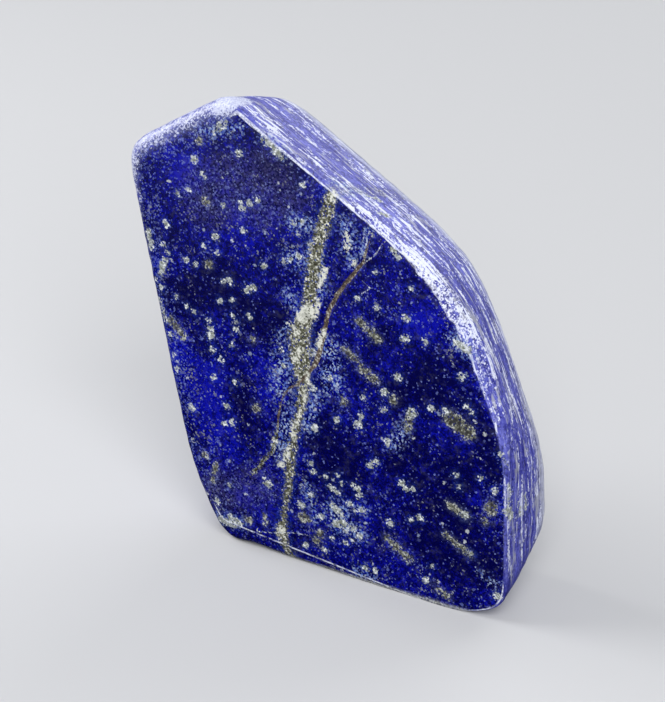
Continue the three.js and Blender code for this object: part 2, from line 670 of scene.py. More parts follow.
CLOUDS = inclusions(
    (6.4, 90.5, 7.2, 84.5, 1.6), (7.8, 83, 8.9, 81, 1.2), (-1.5, 80, -7.5, 79, 2.0),
    (-3, 88, -7.5, 87.5, 1.6), (-0.5, 72, -1, 82, 2.0), (-5, 66, -8, 70, 0.9), (-8.5, 52, -9, 45, 2.6),
    (3, 58, 4.5, 50, 3.0), (0.5, 46, -1.5, 38, 1.6), (-6.5, 40, -8, 28, 1.8),
    (23.5, 43, 21.5, 38.5, 1.3), (34.5, 68.8, 40.5, 66.2, 1.6), (-15.5, 106.6, -11, 104, 1.0),
    (11.7, 89.9, 10.7, 85.1, 0.8), (-32, 104.6, -22, 107.6, 1.0), (2.5, 97.5, 2, 6, 96, 7, 1.8),
    (7.3, 13.8, 13.8, 12.8, 1.8), (10, 19.5, 14, 19.3, 1.1), (6, 17.4, 9, 17.2, 2.0),
    (-1.5, 22, 2, 14, 0.8), (-24.5, 6, -19.5, 6.2, 1.5), (14, 2.4, 17, 1.8, 1.2),
    (-7.5, 61, -10.5, 57, 0.8), (44.8, 12.6, 49.5, 9, 0.3),
)
CALCITE_GRAINS = inclusions(
    (16.8, 32.8, 1.0), (15.6, 31.6, 0.8), (-11.5, 19, 1.2), (-12.6, 20.4, 0.7), (25.6, 48, 1.3),
    (19.6, 38.6, 1.1), (-18.8, 68.5, 1.1), (-28.2, 54.3, 1.0), (-28.4, 56, 0.7), (-33.1, 33.8, 1.0),
    (0.4, 37.3, 1.0), (-1.2, 56.4, 1.2), (-27.3, 107.3, 0.9), (-25.8, 108.4, 0.7), (-23.7, 69.4, 1.0),
    (-25.2, 68.8, 0.6), (-46.1, 76.5, 1.0), (15.2, 71.8, 0.9), (22.7, 71.1, 1.0), (22.7, 65.9, 1.1),
    (18.2, 51.3, 0.9), (24.1, 29.1, 1.0), (25, 28, 0.6), (12.5, 24.5, 0.8), (12.7, 22.6, 0.6),
    (-2.3, 16, 1.0), (6.3, 41, 1.0), (-33.8, 97.7, 1.0), (21.5, 56, 1.0), (11.9, 41.2, 1.1),
    (21.6, 18, 1.0), (31.8, 5.7, 0.9), (-25.3, 48.5, 0.95), (-37.5, 43.1, 0.8), (-27.1, 43.6, 0.8),
    (-23.4, 36.8, 0.9), (-21.6, 32.8, 0.95), (-23.8, 31.9, 0.7), (-8.1, 25.4, 0.9), (-0.1, 47.4, 0.9),
    (4, 51.3, 0.8), (0.8, 25.8, 0.8), (-8.2, 51.3, 0.8), (-41.6, 56.6, 0.8), (-21.9, 101.6, 0.9),
    (-18.9, 90, 0.9), (-16.8, 91.4, 0.85), (-20.6, 88.4, 0.9), (-27.7, 79.6, 0.9), (-41.1, 79.9, 0.9),
    (-27.1, 75.7, 0.8), (-42.1, 68.4, 0.9), (-14.4, 75.3, 0.9), (37.3, 60.1, 0.9), (18.4, 47, 0.9),
    (39.2, 53.3, 0.8), (40.5, 51.8, 0.7), (34, 50.6, 0.8), (50.3, 6.8, 1.1), (-25.5, 10.5, 0.9),
    (3.2, 14.3, 0.9), (5.8, 22.6, 0.8), (15.9, 4.1, 0.9), (18.6, 4.1, 0.7), (-16.9, 69.2, 0.8),
    (-26, 63.7, 0.75), (-18, 61.7, 0.8), (-21.4, 57.6, 0.75), (-27.6, 50.6, 0.8), (-21.3, 43.7, 0.8),
    (-10.2, 29.7, 0.7), (-0.3, 27.8, 0.75), (-38, 88.1, 0.8), (-35, 89.8, 0.75), (-5.3, 97.6, 0.8),
    (-20.3, 82.8, 0.8), (-35.5, 72, 0.85), (-5.4, 79.9, 0.75), (-7.7, 78.6, 0.8), (-9.4, 77.9, 0.7),
    (-2.9, 83, 0.7), (27.8, 66.7, 0.8), (12.6, 43.7, 0.7), (30.3, 50.4, 0.75), (43.7, 36.1, 0.75),
    (47.6, 33.9, 0.8), (40.6, 25.5, 0.85), (42.8, 16, 0.7), (29.2, 21.5, 0.8), (4.7, 5.7, 0.8),
    (10.2, 9.3, 0.8), (-23.4, 69.2, 0.6), (-22.7, 64.7, 0.65), (-33, 59.2, 0.65), (-22.6, 60.8, 0.7),
    (-21.5, 59.4, 0.6), (-28.8, 57.8, 0.7), (-39.6, 51.5, 0.6), (-22.4, 53.2, 0.6), (-38.6, 46.5, 0.7),
    (-32.6, 25, 0.6), (-22.2, 15.8, 0.65), (-31.3, 94.3, 0.8), (-25.8, 88, 0.6), (-21, 89.6, 0.6),
    (-7.2, 87.7, 0.7), (-4.9, 88.7, 0.75), (-5.8, 85.3, 0.6), (23.5, 78.7, 0.65), (12.8, 48.7, 0.6),
    (37.7, 35.2, 0.7), (38.6, 32.4, 0.65), (27, 28.6, 0.65), (48.2, 43.3, 0.7), (26.9, 20.6, 0.6),
    (33.1, 9.6, 0.6), (6.4, 9.5, 0.7), (-8.9, 55.2, 0.7), (42.9, 60.8, 1.0),
    (-45.8, 75.5, -45, 73, 0.8), (-41.9, 74.4, 0.6), (-40.6, 72.8, 0.7),
    (-41.3, 70.8, -42.6, 67.3, 0.8), (-43.9, 64.9, 0.6), (-42.4, 63.3, 0.8), (-30.6, 76.7, 0.6),
    (-32.8, 71.4, 0.6), (-37.9, 61.8, 0.6), (-35, 60.1, 0.6), (-42.9, 60, -41, 54.9, 0.7),
    (-46.5, 68.9, 1.0), (-39.5, 51.6, 0.8), (-15.8, 106.3, -11.2, 103.4, 0.9),
    (18.2, 87, 19.8, 85.3, 0.7), (35.5, 68, 40, 66.8, 1.0), (11.8, 92.6, 5.4, 13, 91.6, 6.8, 0.8),
    (7.2, 95, 8, 9.6, 93.4, 10, 0.7), (-28.6, 105.1, -25.7, 107.2, 0.6), (12.6, 89.3, 0.6),
    (14.2, 80.6, 0.6), (10, 73, 0.6), (-24.3, 5.6, -20.5, 5.2, 1.2), (-22, 7.4, -18.6, 6.2, 0.7),
    (5.3, 23, 7.5, 22, 0.6), (11.6, 25.3, 13.6, 23.2, 0.7), (8.4, 24.7, 0.6), (0.4, 19.4, 0.6),
    (6.3, 18.4, 8.6, 16.4, 0.9), (10.8, 20, 0.9), (14, 19.4, 1.0), (12.2, 18.2, 0.6),
    (7.2, 13.6, 9.2, 14.4, 1.1), (10.4, 12.4, 0.8), (12, 13.6, 0.8), (13.9, 12, 1.0), (12, 10.6, 0.6),
    (-0.6, 5.5, 0.8), (7.2, 26.8, 0.6), (4.1, 25.3, 0.7), (50.2, 35.2, 1, 50.4, 33.4, 2, 0.8),
    (50.8, 29.4, 0.8, 51.2, 27.4, 2, 1.1), (51.5, 29, 5.6, 51.7, 26, 6.4, 0.7),
    (51.4, 30, 9, 51.6, 26.4, 9.6, 0.7), (50.4, 32.2, 1, 50.8, 31, 1.4, 0.5),
    (49, 41.7, 0.6, 49.4, 40.6, 1.2, 0.5),
)
COBALT_FIELDS = inclusions(
    (-29, 42, -25, 26, 5), (-13, 48, -12, 42, 3), (28, 46, 37, 42.5, 3), (-38, 49, -36, 44, 3),
    (-38, 97, -36, 92, 2.5), (-21, 86, -20, 80, 2), (20, 60, 28, 72, 3), (42, 60, 45, 56, 2),
)
HAZE_FIELDS = inclusions(
    (-30, 90, -15, 96, 8), (-16, 88, -7, 95, 4), (-27, 12, -14, 18, 5),
)
NAVY_FIELDS = inclusions(
    (-17, 104, -9, 100, 3), (4, 35, 8, 28, 5), (26, 34, 33, 30, 5), (-20, 64, -12, 62, 4),
    (40, 54, 47, 40, 3), (-22, 38, -18, 34, 3), (20, 64, 30, 58, 3), (30, 22, 34, 14, 4),
    (-36, 62, -26, 68, 5), (22, 60, 36, 38, 7), (34, 26, 44, 13, 6),
)
CHALK_PATCHES = inclusions(
    (3.1, 98.2, 2.6, 95.4, 0.8), (-2.6, 66.8, -4.2, 64.6, 1.6), (-7.3, 62.5, -4.8, 60.3, 0.5),
    (1.7, 62.5, 0.6, 58.5, 0.6), (1.5, 78, 0.2, 73.5, 0.6), (0.3, 70, -0.6, 65.5, 0.6),
    (-4.0, 56.5, -5.5, 53.5, 0.6), (-2.2, 51, -1.6, 48.5, 0.5), (-2.3, 47.6, -2.7, 42.1, 0.3),
    (-3.4, 40.7, -4.3, 37.3, 0.45), (-5.3, 36.6, -5.4, 32.5, 0.4), (-6.5, 30.1, -6.8, 27.2, 0.6),
    (-8, 25.2, 0.8), (-10.1, 31, 0.6), (-7.4, 7.4, 1.2), (8.9, 81.3, 0.7), (6.6, 88, 7.0, 84.5, 0.6),
)

@dataclass(frozen=True)
class Scatter:
    """Inclusions that are scattered at random over the back.

    Attributes:
        count: How many there are.
        radii: The least and the most of half their width, in millimetres.
        length: How long the longest are, in millimetres.
        seed: The number that the random draw starts from.
        depth: How far behind the face the back lies, in millimetres.
        corners: The lower left and upper right corners of the area that they lie in.
        slant: The way that the long ones run, across and up.
    """

    count: int
    radii: tuple[float, float]
    length: float
    seed: int
    depth: float = 24.5
    corners: tuple[tuple[float, float], tuple[float, float]] = ((-46, 2), (46, 108))
    slant: tuple[float, float] = (0.9, -0.45)

    def drawn(self) -> tuple[Streak, ...]:
        """Draws the inclusions.

        Returns:
            The inclusions.
        """
        draw = np.random.default_rng(self.seed)
        made = []
        for _ in range(self.count):
            across, up = draw.uniform(*self.corners)
            run = draw.uniform(0, self.length)
            end = (across + self.slant[0] * run, up + self.slant[1] * run, self.depth)
            made.append(Streak((across, up, self.depth), end, draw.uniform(*self.radii)))
        return tuple(made)


STREAKS = {
    "grain_gap": CALCITE_GRAINS + Scatter(100, (0.6, 1.1), 0.8, SEED).drawn(),
    "olive_gap": OLIVE_STREAKS + Scatter(16, (0.7, 1.3), 7.0, SEED + 1).drawn(),
    "cloud_gap": CLOUDS,
    "chalk_gap": CHALK_PATCHES,
    "cobalt_gap": COBALT_FIELDS,
    "navy_gap": NAVY_FIELDS,
    "haze_gap": HAZE_FIELDS,
}
SEAMS = {
    "vein_gap": (MAIN_VEIN,),
    "crack_gap": (BROWN_CRACK,),
    "branch_gap": (PALE_BRANCH,),
    "hair_gap": HAIRLINES,
}


def gap_to_streak(places: np.ndarray, streak: Streak) -> np.ndarray:
    """How far some places lie outside an inclusion.

    Args:
        places: Slab places.
        streak: The inclusion.

    Returns:
        The gaps in millimetres, less than 0 inside it.
    """
    start, end = (np.array([*point, 0.0])[:3] for point in (streak.start, streak.end))
    way = end - start
    share = np.clip((places - start) @ way / max(way @ way, TINY), 0, 1)
    return np.linalg.norm(places - start - share[:, None] * way, axis=1) - streak.radius


def gap_to_seam(places: np.ndarray, seam: Seam) -> np.ndarray:
    """How far some places lie outside a seam.

    Args:
        places: Slab places.
        seam: The seam.

    Returns:
        The gaps in millimetres, less than 0 inside it.
    """
    plan = places[:, :2] - places[:, 2:] * np.array(seam.drift)
    gaps = []
    for (*start, wide), (*end, wide_end) in zip(seam.course, seam.course[1:]):
        way = np.subtract(end, start)
        share = np.clip((plan - start) @ way / (way @ way), 0, 1)
        gap = np.hypot(*(plan - start - share[:, None] * way).T)
        gaps.append(gap - wide - (wide_end - wide) * share)
    return np.min(gaps, axis=0)


# ---------------------------------------------------------------- where the stone is worn, and where highlights are painted


class Part(Enum):
    """Parts of the skin: by a sharp or a rounded border of the face, and at the foot or above it."""

    SHARP = "sharp"
    ROUND = "round"
    FOOT = "foot"
    ABOVE = "above"


@dataclass(frozen=True)
class Whereabouts:
    """Where each point of the skin lies.

    Attributes:
        past: How far past the face's border, in millimetres.
        turn: In which direction from the hub, in degrees: 0 right, 90 up.
        up: How far up the face, in millimetres.
        depth: How far behind the face, in millimetres.
        rise: How far above the floor, in millimetres.
        parts: How far it belongs to each part of the skin, from 0 to 1.
    """

    past: np.ndarray
    turn: np.ndarray
    up: np.ndarray
    depth: np.ndarray
    rise: np.ndarray
    parts: dict[Part, np.ndarray]


Step = tuple[float, float]  # where a share starts and where it is full


@dataclass(frozen=True)
class Zone:
    """A stretch of the skin with soft ends, as steps over the measures of where a point lies.

    Attributes:
        amount: How much it counts.
        parts: The parts of the skin that it keeps to.
        past: Its steps over the way past the border, and so on for the other measures.
    """

    amount: float
    parts: tuple[Part, ...] = ()
    past: tuple[Step, ...] = ()
    turn: tuple[Step, ...] = ()
    up: tuple[Step, ...] = ()
    depth: tuple[Step, ...] = ()
    rise: tuple[Step, ...] = ()

    def share(self, at: Whereabouts) -> np.ndarray:
        """How much it counts at each point.

        Args:
            at: Where the points lie.

        Returns:
            A number for each point.
        """
        shares = [at.parts[part] for part in self.parts]
        for measure in ("past", "turn", "up", "depth", "rise"):
            values = getattr(at, measure)
            shares.extend(eased(values, *step) for step in getattr(self, measure))
        return self.amount * np.prod(shares, axis=0)


SHARP, ROUND = (Part.SHARP,), (Part.ROUND,)

# The chamfer of the sharp border: it widens up the right side and ends below the top.
CHAMFER = (
    Zone(0.5, SHARP, turn=((4, 16), (78, 50))),
    Zone(0.5, SHARP, turn=((18, 30), (78, 50))),
)

# The chalky line along the sharp border.
CREASE_END = (112.4, 111.0)
CREASE = (
    Zone(0.1, SHARP, turn=(CREASE_END,)),
    Zone(0.35, SHARP, turn=(CREASE_END,), up=((62, 80),)),
    Zone(0.75, SHARP, turn=(CREASE_END,), up=((96, 108),)),
)

# What is ground instead of polished. The bevel over the foot keeps its polish.
GROUND = (
    Zone(1.0, SHARP, past=((0.0, 0.35),)),
    Zone(0.85, ROUND, past=((1.2, 6.0),)),
    Zone(-0.85, (Part.ROUND, Part.FOOT), past=((1.2, 6.0),), depth=((12, 6),)),
)
BACK = (Zone(1.0, depth=((20.5, 24.3),)),)

# Where the rim has its white and blue bands.
BANDED = (
    Zone(0.4, SHARP, up=((60, 78),)),
    Zone(0.6, SHARP, up=((60, 78),), turn=((92, 74),)),
)

# Where the rim is whiter, or bluer where the amount is less than 0.
WHITER = (
    Zone(-0.05, up=((66, 46),)),
    Zone(0.07, up=((66, 46),), past=((14, 19),)),
    Zone(-0.12, turn=((74, 92),)),
    Zone(0.17, past=((10, 6.5),), turn=((58, 82), (112, 106))),
)

# The wear, and the painted highlights along the edge round the back and the foot's lowest edge, that
# the material reads as it is, by the value's name.
TOP_FROST = ((-6.0, 4.2), (14, 7))
LEFT_FROST = {"past": ((-8.0, 3.5), (11, 6)), "turn": ((136, 150), (232, 206))}
WEAR_AND_HIGHLIGHTS = {
    "dusty": (Zone(1.0, (Part.ROUND, Part.ABOVE), past=((-7.0, 0.0),)),),
    # painted highlight: a pale line along the ragged edge round the back, where it would catch the
    # light
    "back_edge": (Zone(1.0, (Part.SHARP, Part.ABOVE), depth=((18.4, 20.6), (23.5, 22.0))),),
    # painted highlight: a glint along the foot's lowest edge, where a small rounding would catch the
    # light
    "floor_glint": (Zone(1.0, (Part.FOOT,), rise=((1.3, 0.4),)),),
    "far": (
        Zone(0.25, past=((15, 20),)),
        Zone(0.75, past=((15, 20),), up=((62, 44),)),
    ),
    "frost": (
        Zone(1.0, past=TOP_FROST, turn=((108.4, 111.4), (152, 138))),
        Zone(0.35, past=TOP_FROST, turn=((108.4, 110.8), (117, 113.5))),
        Zone(0.4, ROUND, **LEFT_FROST),
        Zone(0.2, ROUND, up=((58, 94),), **LEFT_FROST),
    ),
}


@dataclass
class StoneMarks:
    """What the skin's points carry for the relief and the material.

    Attributes:
        skin: The stone's skin.
        shown_gap: The largest gap to an inclusion that matters, in millimetres.
        grain_shrink: How much smaller than drawn the calcite grains are, in millimetres.
        sharp_slope: The slopes of the border, in degrees, that look round and sharp.
        slope_passes: How strongly the border's slope is evened out.
        foot_height: The heights up the face over which the skin turns into the foot.
        chips: The sizes of the border's chips, in millimetres, and how much each size counts.
        chip_reach: How far the chips reach, and how much further on the chamfer.
        chip_width: How far from the border they start and are full.
        chamfer_width: How far past the border the chamfer ends and is full.
        foot_chalk: How chalky the border is at the foot.
        back_polish: How much of its polish the back keeps.
        white_bands: How much whiter than usual the rim is, at so many millimetres past the border.
    """

    skin: StoneSkin
    shown_gap: float = 6.0
    grain_shrink: float = 0.1
    sharp_slope: Step = (14.0, 30.0)
    slope_passes: int = 30
    foot_height: Step = (12.0, 7.5)
    chips: tuple[tuple[float, float], ...] = ((5.0, 1.0), (1.7, 0.7))
    chip_reach: tuple[float, float] = (0.12, 0.6)
    chip_width: Step = (3.0, 1.2)
    chamfer_width: Step = (5.2, 3.4)
    foot_chalk: float = 0.44
    back_polish: float = 0.6
    white_bands: tuple[tuple[float, float], ...] = (
        (0, 0.02), (4, 0.03), (7, -0.02), (9, -0.14), (13, -0.14), (15.5, 0.0), (18, -0.02),
        (21, -0.1), (25, 0.0),
    )
    at: Whereabouts = field(init=False)
    values: dict[str, np.ndarray] = field(init=False)

    def __post_init__(self) -> None:
        """Works out every value once."""
        _, up, depth = self.skin.places.T
        rise = up * math.cos(LEAN) - depth * math.sin(LEAN)
        sharp, foot = self.sharpness(), eased(up, *self.foot_height)
        parts = {Part.SHARP: sharp, Part.ROUND: 1 - sharp, Part.FOOT: foot, Part.ABOVE: 1 - foot}
        self.at = Whereabouts(self.skin.past, self.skin.turn * 360, up, depth, rise, parts)
        self.at = replace(self.at, past=self.worn_past())
        past, back = self.at.past, self.share(BACK)
        ground = self.share(GROUND) * (1 - self.back_polish * back)
        bands = np.interp(past, *zip(*self.white_bands))
        self.values = {
            "past": past,
            "ground": ground,
            "streaked": ground * (1 - back),
            "chalky": np.maximum(self.share(CREASE), self.foot_chalk * foot),
            "white": bands * self.share(BANDED) + self.share(WHITER),
            "chamfer": self.share(CHAMFER) * eased(past, *self.chamfer_width),
            **{name: self.share(zones) for name, zones in WEAR_AND_HIGHLIGHTS.items()},
            **self.gaps(),
        }

    def share(self, zones: tuple[Zone, ...]) -> np.ndarray:
        """How much some zones count together at each point."""
        return sum(zone.share(self.at) for zone in zones)

    def sharpness(self) -> np.ndarray:
        """Judges how sharp the face's border is in each point's direction.

        Returns:
            A number from 0, where it is round, to 1 for each point.
        """
        sections = self.skin.form.sections
        out, down = (sections[:, 2] - sections[:, 0]).T
        slope = np.degrees(np.arctan2(down, np.abs(out) + TINY))
        slope = evened(slope, self.slope_passes, axis=0, closed=True)
        sharp = eased(slope, *self.sharp_slope)
        turns = np.linspace(0, 1, len(sharp) + 1)
        return np.interp(self.skin.turn, turns, np.append(sharp, sharp[0]))

    def worn_past(self) -> np.ndarray:
        """Chips the sharp border, so that it isn't an even line.

        Returns:
            How far past the worn border each point lies, in millimetres.
        """
        places, past = self.skin.places, self.skin.past
        wear = [
            weight * waves(places, size, seed)
            for seed, (size, weight) in enumerate(self.chips, start=3)
        ]
        usual, chamfered = self.chip_reach
        reach = usual * self.at.parts[Part.SHARP] + chamfered * self.share(CHAMFER)
        return past + reach * sum(wear) * eased(np.abs(past), *self.chip_width)

    def gaps(self) -> dict[str, np.ndarray]:
        """Measures how far each point lies outside each kind of marking.

        Returns:
            The gaps in millimetres, by the value's name.
        """
        places, gaps = self.skin.places, {}
        for name, streaks in STREAKS.items():
            nearest = np.full(len(places), self.shown_gap)
            for streak in streaks:
                nearest = np.minimum(nearest, gap_to_streak(places, streak))
            gaps[name] = nearest
        gaps["grain_gap"] += self.grain_shrink
        for name, seams in SEAMS.items():
            gaps[name] = np.min([gap_to_seam(places, seam) for seam in seams], axis=0)
        return gaps


# ---------------------------------------------------------------- relief


@dataclass(frozen=True)
class Nick:
    """A small piece that has broken from the stone.

    Attributes:
        centre: Its middle, as a slab place.
        radius: How far it reaches, in millimetres.
        depth: How deep it is, in millimetres.
    """

    centre: tuple[float, float, float]
    radius: float
    depth: float


@dataclass(frozen=True)
class NickRow:
    """Nicks at random along an edge.

    Attributes:
        count: How many there are.
        radii: The least and the greatest radius, in millimetres.
        lowest: How far up the face the lowest may be, in millimetres.
        depths: The least and the greatest depth, in parts of the radius.
    """

    count: int
    radii: tuple[float, float]
    lowest: float
    depths: tuple[float, float] = (0.16, 0.3)

    def drawn(self, draw: np.random.Generator, places: np.ndarray) -> list[Nick]:
        """Draws the nicks.

        Args:
            draw: The random draw.
            places: The slab places along the edge.

        Returns:
            The nicks.
        """
        places = places[places[:, 1] > self.lowest]
        made = []
        for point in draw.choice(len(places), self.count, replace=False):
            radius = draw.uniform(*self.radii)
            made.append(Nick(tuple(places[point]), radius, radius * draw.uniform(*self.depths)))
        return made


@dataclass
class StoneRelief:
    """The fine relief of the skin, in millimetres along its normal.

    Attributes:
        marks: The skin's markings.
        ripple: The height and size of the soft unevenness left by hand grinding.
        face_ripple: How much of it the polished face has.
        scuff: The height and size of the rougher unevenness of the rim.
        rim: How far past the border the rim's relief starts and is full.
        crack_depth: How deep the crack lies.
        crack_edge: The gaps to the crack over which the skin sinks.
        vein_depth: How far the softer vein has worn below the lazurite.
        vein_edge: The gaps to the vein over which the skin sinks.
        vein_grit: The height and size of the vein's own grain.
        filled: How much shallower the crack and the vein are on the rim.
        pits: The pits that are placed one by one.
        edge_nicks: The nicks along the sharp border.
        back_nicks: The nicks along the ragged edge round the back.
        back_edge: How far the skin belongs to the back at that edge, and how wide the edge is.
    """

    marks: StoneMarks
    ripple: tuple[float, float] = (0.16, 11.0)
    face_ripple: float = 0.25
    scuff: tuple[float, float] = (0.14, 2.6)
    rim: Step = (0.6, 4.0)
    crack_depth: float = 0.3
    crack_edge: Step = (0.45, -0.15)
    vein_depth: float = 0.16
    vein_edge: Step = (0.4, -0.7)
    vein_grit: tuple[float, float] = (0.10, 1.2)
    filled: tuple[float, float] = (0.6, 0.5)
    pits: tuple[Nick, ...] = (
        Nick((-2.9, 64.2, 0), 1.5, 0.8), Nick((-6.4, 60.6, 0), 1.1, 0.3),
        Nick((50.2, 7.5, 2.0), 2.2, 0.5), Nick((48.0, 21.5, 23.5), 3.4, 0.9),
        Nick((-13.2, 105.2, 0), 2.4, 0.45),
    )
    edge_nicks: NickRow = NickRow(34, (0.5, 1.3), lowest=6)
    back_nicks: NickRow = NickRow(30, (0.9, 2.6), lowest=8)
    back_edge: tuple[float, float] = (0.6, 0.8)

    def nicks(self) -> list[Nick]:
        """Places the pits, and the nicks along both edges.

        Returns:
            The pits and nicks.
        """
        skin, marks = self.marks.skin, self.marks
        border = skin.places[(skin.past == 0) & (marks.at.parts[Part.SHARP] > 0.5)]
        share, width = self.back_edge
        whole = skin.past[marks.share(BACK) < share].max()
        ragged = skin.places[np.abs(skin.past - whole) < width]
        draw = np.random.default_rng(SEED)
        edge_nicks = self.edge_nicks.drawn(draw, border)
        return [*self.pits, *edge_nicks, *self.back_nicks.drawn(draw, ragged)]

    def heights(self) -> np.ndarray:
        """Works out the relief of the skin.

        Returns:
            The height of every point, in millimetres.
        """
        places, values = self.marks.skin.places, self.marks.values
        rim = eased(values["past"], *self.rim)
        rippled = self.face_ripple + (1 - self.face_ripple) * rim
        height = self.ripple[0] * waves(places, self.ripple[1]) * rippled
        height += self.scuff[0] * waves(places, self.scuff[1], seed=1) * rim
        crack = eased(values["crack_gap"], *self.crack_edge) * (1 - self.filled[0] * rim)
        vein = eased(values["vein_gap"], *self.vein_edge) * (1 - self.filled[1] * rim)
        grit = self.vein_grit[0] * waves(places, self.vein_grit[1], seed=2)
        height += vein * (grit - self.vein_depth) - crack * self.crack_depth
        for nick in self.nicks():
            away = np.linalg.norm(places - nick.centre, axis=1) / nick.radius
            height -= nick.depth * np.clip(1 - away**2, 0, 1)
        return height


# ---------------------------------------------------------------- shader building

Socket = bpy.types.NodeSocket
Tree = bpy.types.NodeTree
Outputs = bpy.types.bpy_prop_collection


@dataclass(frozen=True)
class Graph:
    """Adds nodes to a shader tree and links them."""

    tree: Tree

    def add(self, kind: str, inputs: dict | None = None, **settings: object) -> bpy.types.Node:
        """Adds one node.

        Args:
            kind: The node's type.
            inputs: What feeds its inputs, by their names or numbers: an output or a plain value.
            settings: Its own settings.

        Returns:
            The node.
        """
        node = self.tree.nodes.new(kind)
        for name, value in settings.items():
            setattr(node, name, value)
        self.feed(node, inputs or {})
        return node

    def feed(self, node: bpy.types.Node, inputs: dict) -> None:
        """Feeds some of a node's inputs.

        Args:
            node: The node.
            inputs: The outputs to link or plain values to set, by name or number.
        """
        for name, value in inputs.items():
            if isinstance(value, Socket):
                self.tree.links.new(value, node.inputs[name])
            else:
                node.inputs[name].default_value = value

    def attribute(self, name: str) -> bpy.types.Node:
        """A value that the mesh holds."""
        return self.add("ShaderNodeAttribute", attribute_name=name)

    def math(self, operation: str, *values: object) -> Socket:
        """Works out a sum, product or the like."""
        return self.add("ShaderNodeMath", dict(enumerate(values)), operation=operation).outputs[0]

    def product(self, *values: object) -> Socket:
        """Multiplies values."""
        return reduce(lambda first, value: self.math("MULTIPLY", first, value), values)

    def most(self, *values: object) -> Socket:
        """The largest of some values."""
        return reduce(lambda first, value: self.math("MAXIMUM", first, value), values)

    def total(self, start: object, *parts: tuple[object, object]) -> Socket:
        """Adds values to a first one, each with its weight.

        Args:
            start: The first value.
            parts: Each other value with its weight.

        Returns:
            The sum.
        """
        for value, weight in parts:
            start = self.math("MULTIPLY_ADD", value, weight, start)
        return start

    def scaled(self, place: object, scale: object) -> Socket:
        """Stretches a place by one number or by three.

        Args:
            place: The place.
            scale: The number, or three of them.

        Returns:
            The stretched place.
        """
        if isinstance(scale, float):
            scale = (scale,) * 3
        return self.add("ShaderNodeVectorMath", {0: place, 1: scale}, operation="MULTIPLY").outputs[0]

    def step(self, value: object, low: float, high: float) -> Socket:
        """A soft step from 0 to 1.

        Args:
            value: What it follows.
            low: Where it is 0.
            high: Where it is 1, which may be less than low.

        Returns:
            The step's value.
        """
        start, end = (0.0, 1.0) if low < high else (1.0, 0.0)
        inputs = {
            "Value": value, "From Min": min(low, high), "From Max": max(low, high),
            "To Min": start, "To Max": end,
        }
        return self.add("ShaderNodeMapRange", inputs, interpolation_type="SMOOTHSTEP").outputs[0]

    def spread(self, value: object, low: float, high: float) -> Socket:
        """Spreads 0 to 1 over another range."""
        inputs = {"Value": value, "To Min": low, "To Max": high}
        return self.add("ShaderNodeMapRange", inputs).outputs[0]

    def mix(self, share: object, first: object, second: object) -> Socket:
        """Mixes two colours."""
        inputs = {0: share, 6: first, 7: second}
        return self.add("ShaderNodeMix", inputs, data_type="RGBA").outputs[2]

    def over(self, colour: object, tint: object, *shares: object) -> Socket:
        """Lays a tint over a colour, as strongly as the product of some shares."""
        return self.mix(self.product(*shares), colour, tint)

    def noise(self, place: object, size: float, detail: float = 3.0, rough: float = 0.7) -> Socket:
        """Smooth noise of 0 to 1 with bumps of one size in millimetres."""
        inputs = {"Vector": place, "Scale": 1 / size, "Detail": detail, "Roughness": rough}
        return self.add("ShaderNodeTexNoise", inputs).outputs["Fac"]

    def cells(self, place: object, scale: object) -> tuple[Socket, Outputs]:
        """Cells, so many to a millimetre: the distance to their middles and three random shares."""
        cell = self.add("ShaderNodeTexVoronoi", {"Vector": place, "Scale": scale}).outputs
        return cell["Distance"], self.add("ShaderNodeSeparateColor", {0: cell["Color"]}).outputs

    def crystals(self, place: object, size: float) -> Outputs:
        """Crystals of one size in millimetres, each with random shares of red, green and blue."""
        return self.cells(place, 1 / size)[1]


def linear(red: int, green: int, blue: int) -> tuple[float, float, float, float]:
    """A colour for the shader from its usual screen numbers."""
    parts = [value / 255 for value in (red, green, blue)]
    return (*(p / 12.92 if p <= 0.04045 else ((p + 0.055) / 1.055) ** 2.4 for p in parts), 1.0)


# ---------------------------------------------------------------- shared effects


class Effect(Enum):
    """The shader groups that the materials share."""

    BODY = "Lazurite Body"
    FLECKS = "Scattered Flecks"
    INCLUSION = "Mineral Inclusion"
    GRINDING = "Grinding Streaks"


class Group:
    """A shader group in the making: its tree, its graph and its input sockets."""

    def __init__(self, effect: Effect, **inputs: str) -> None:
        """Makes an empty group.

        Args:
            effect: The effect, whose name the group takes.
            inputs: The kind of each input socket, by name: Float, Color or Vector.
        """
        self.tree = bpy.data.node_groups.new(effect.value, "ShaderNodeTree")
        self.graph = Graph(self.tree)
        for name, kind in inputs.items():
            self.tree.interface.new_socket(name=name, in_out="INPUT", socket_type=f"NodeSocket{kind}")
        self.given = self.graph.add("NodeGroupInput").outputs

    def gives(self, **outputs: Socket) -> Tree:
        """Makes the output sockets, which are colours or plain values, and links what feeds them.

        Args:
            outputs: What feeds each output socket, by its name.

        Returns:
            The group.
        """
        for name, socket in outputs.items():
            kind = "NodeSocketColor" if socket.type == "RGBA" else "NodeSocketFloat"
            self.tree.interface.new_socket(name=name, in_out="OUTPUT", socket_type=kind)
        self.graph.add("NodeGroupOutput", outputs)
        return self.tree


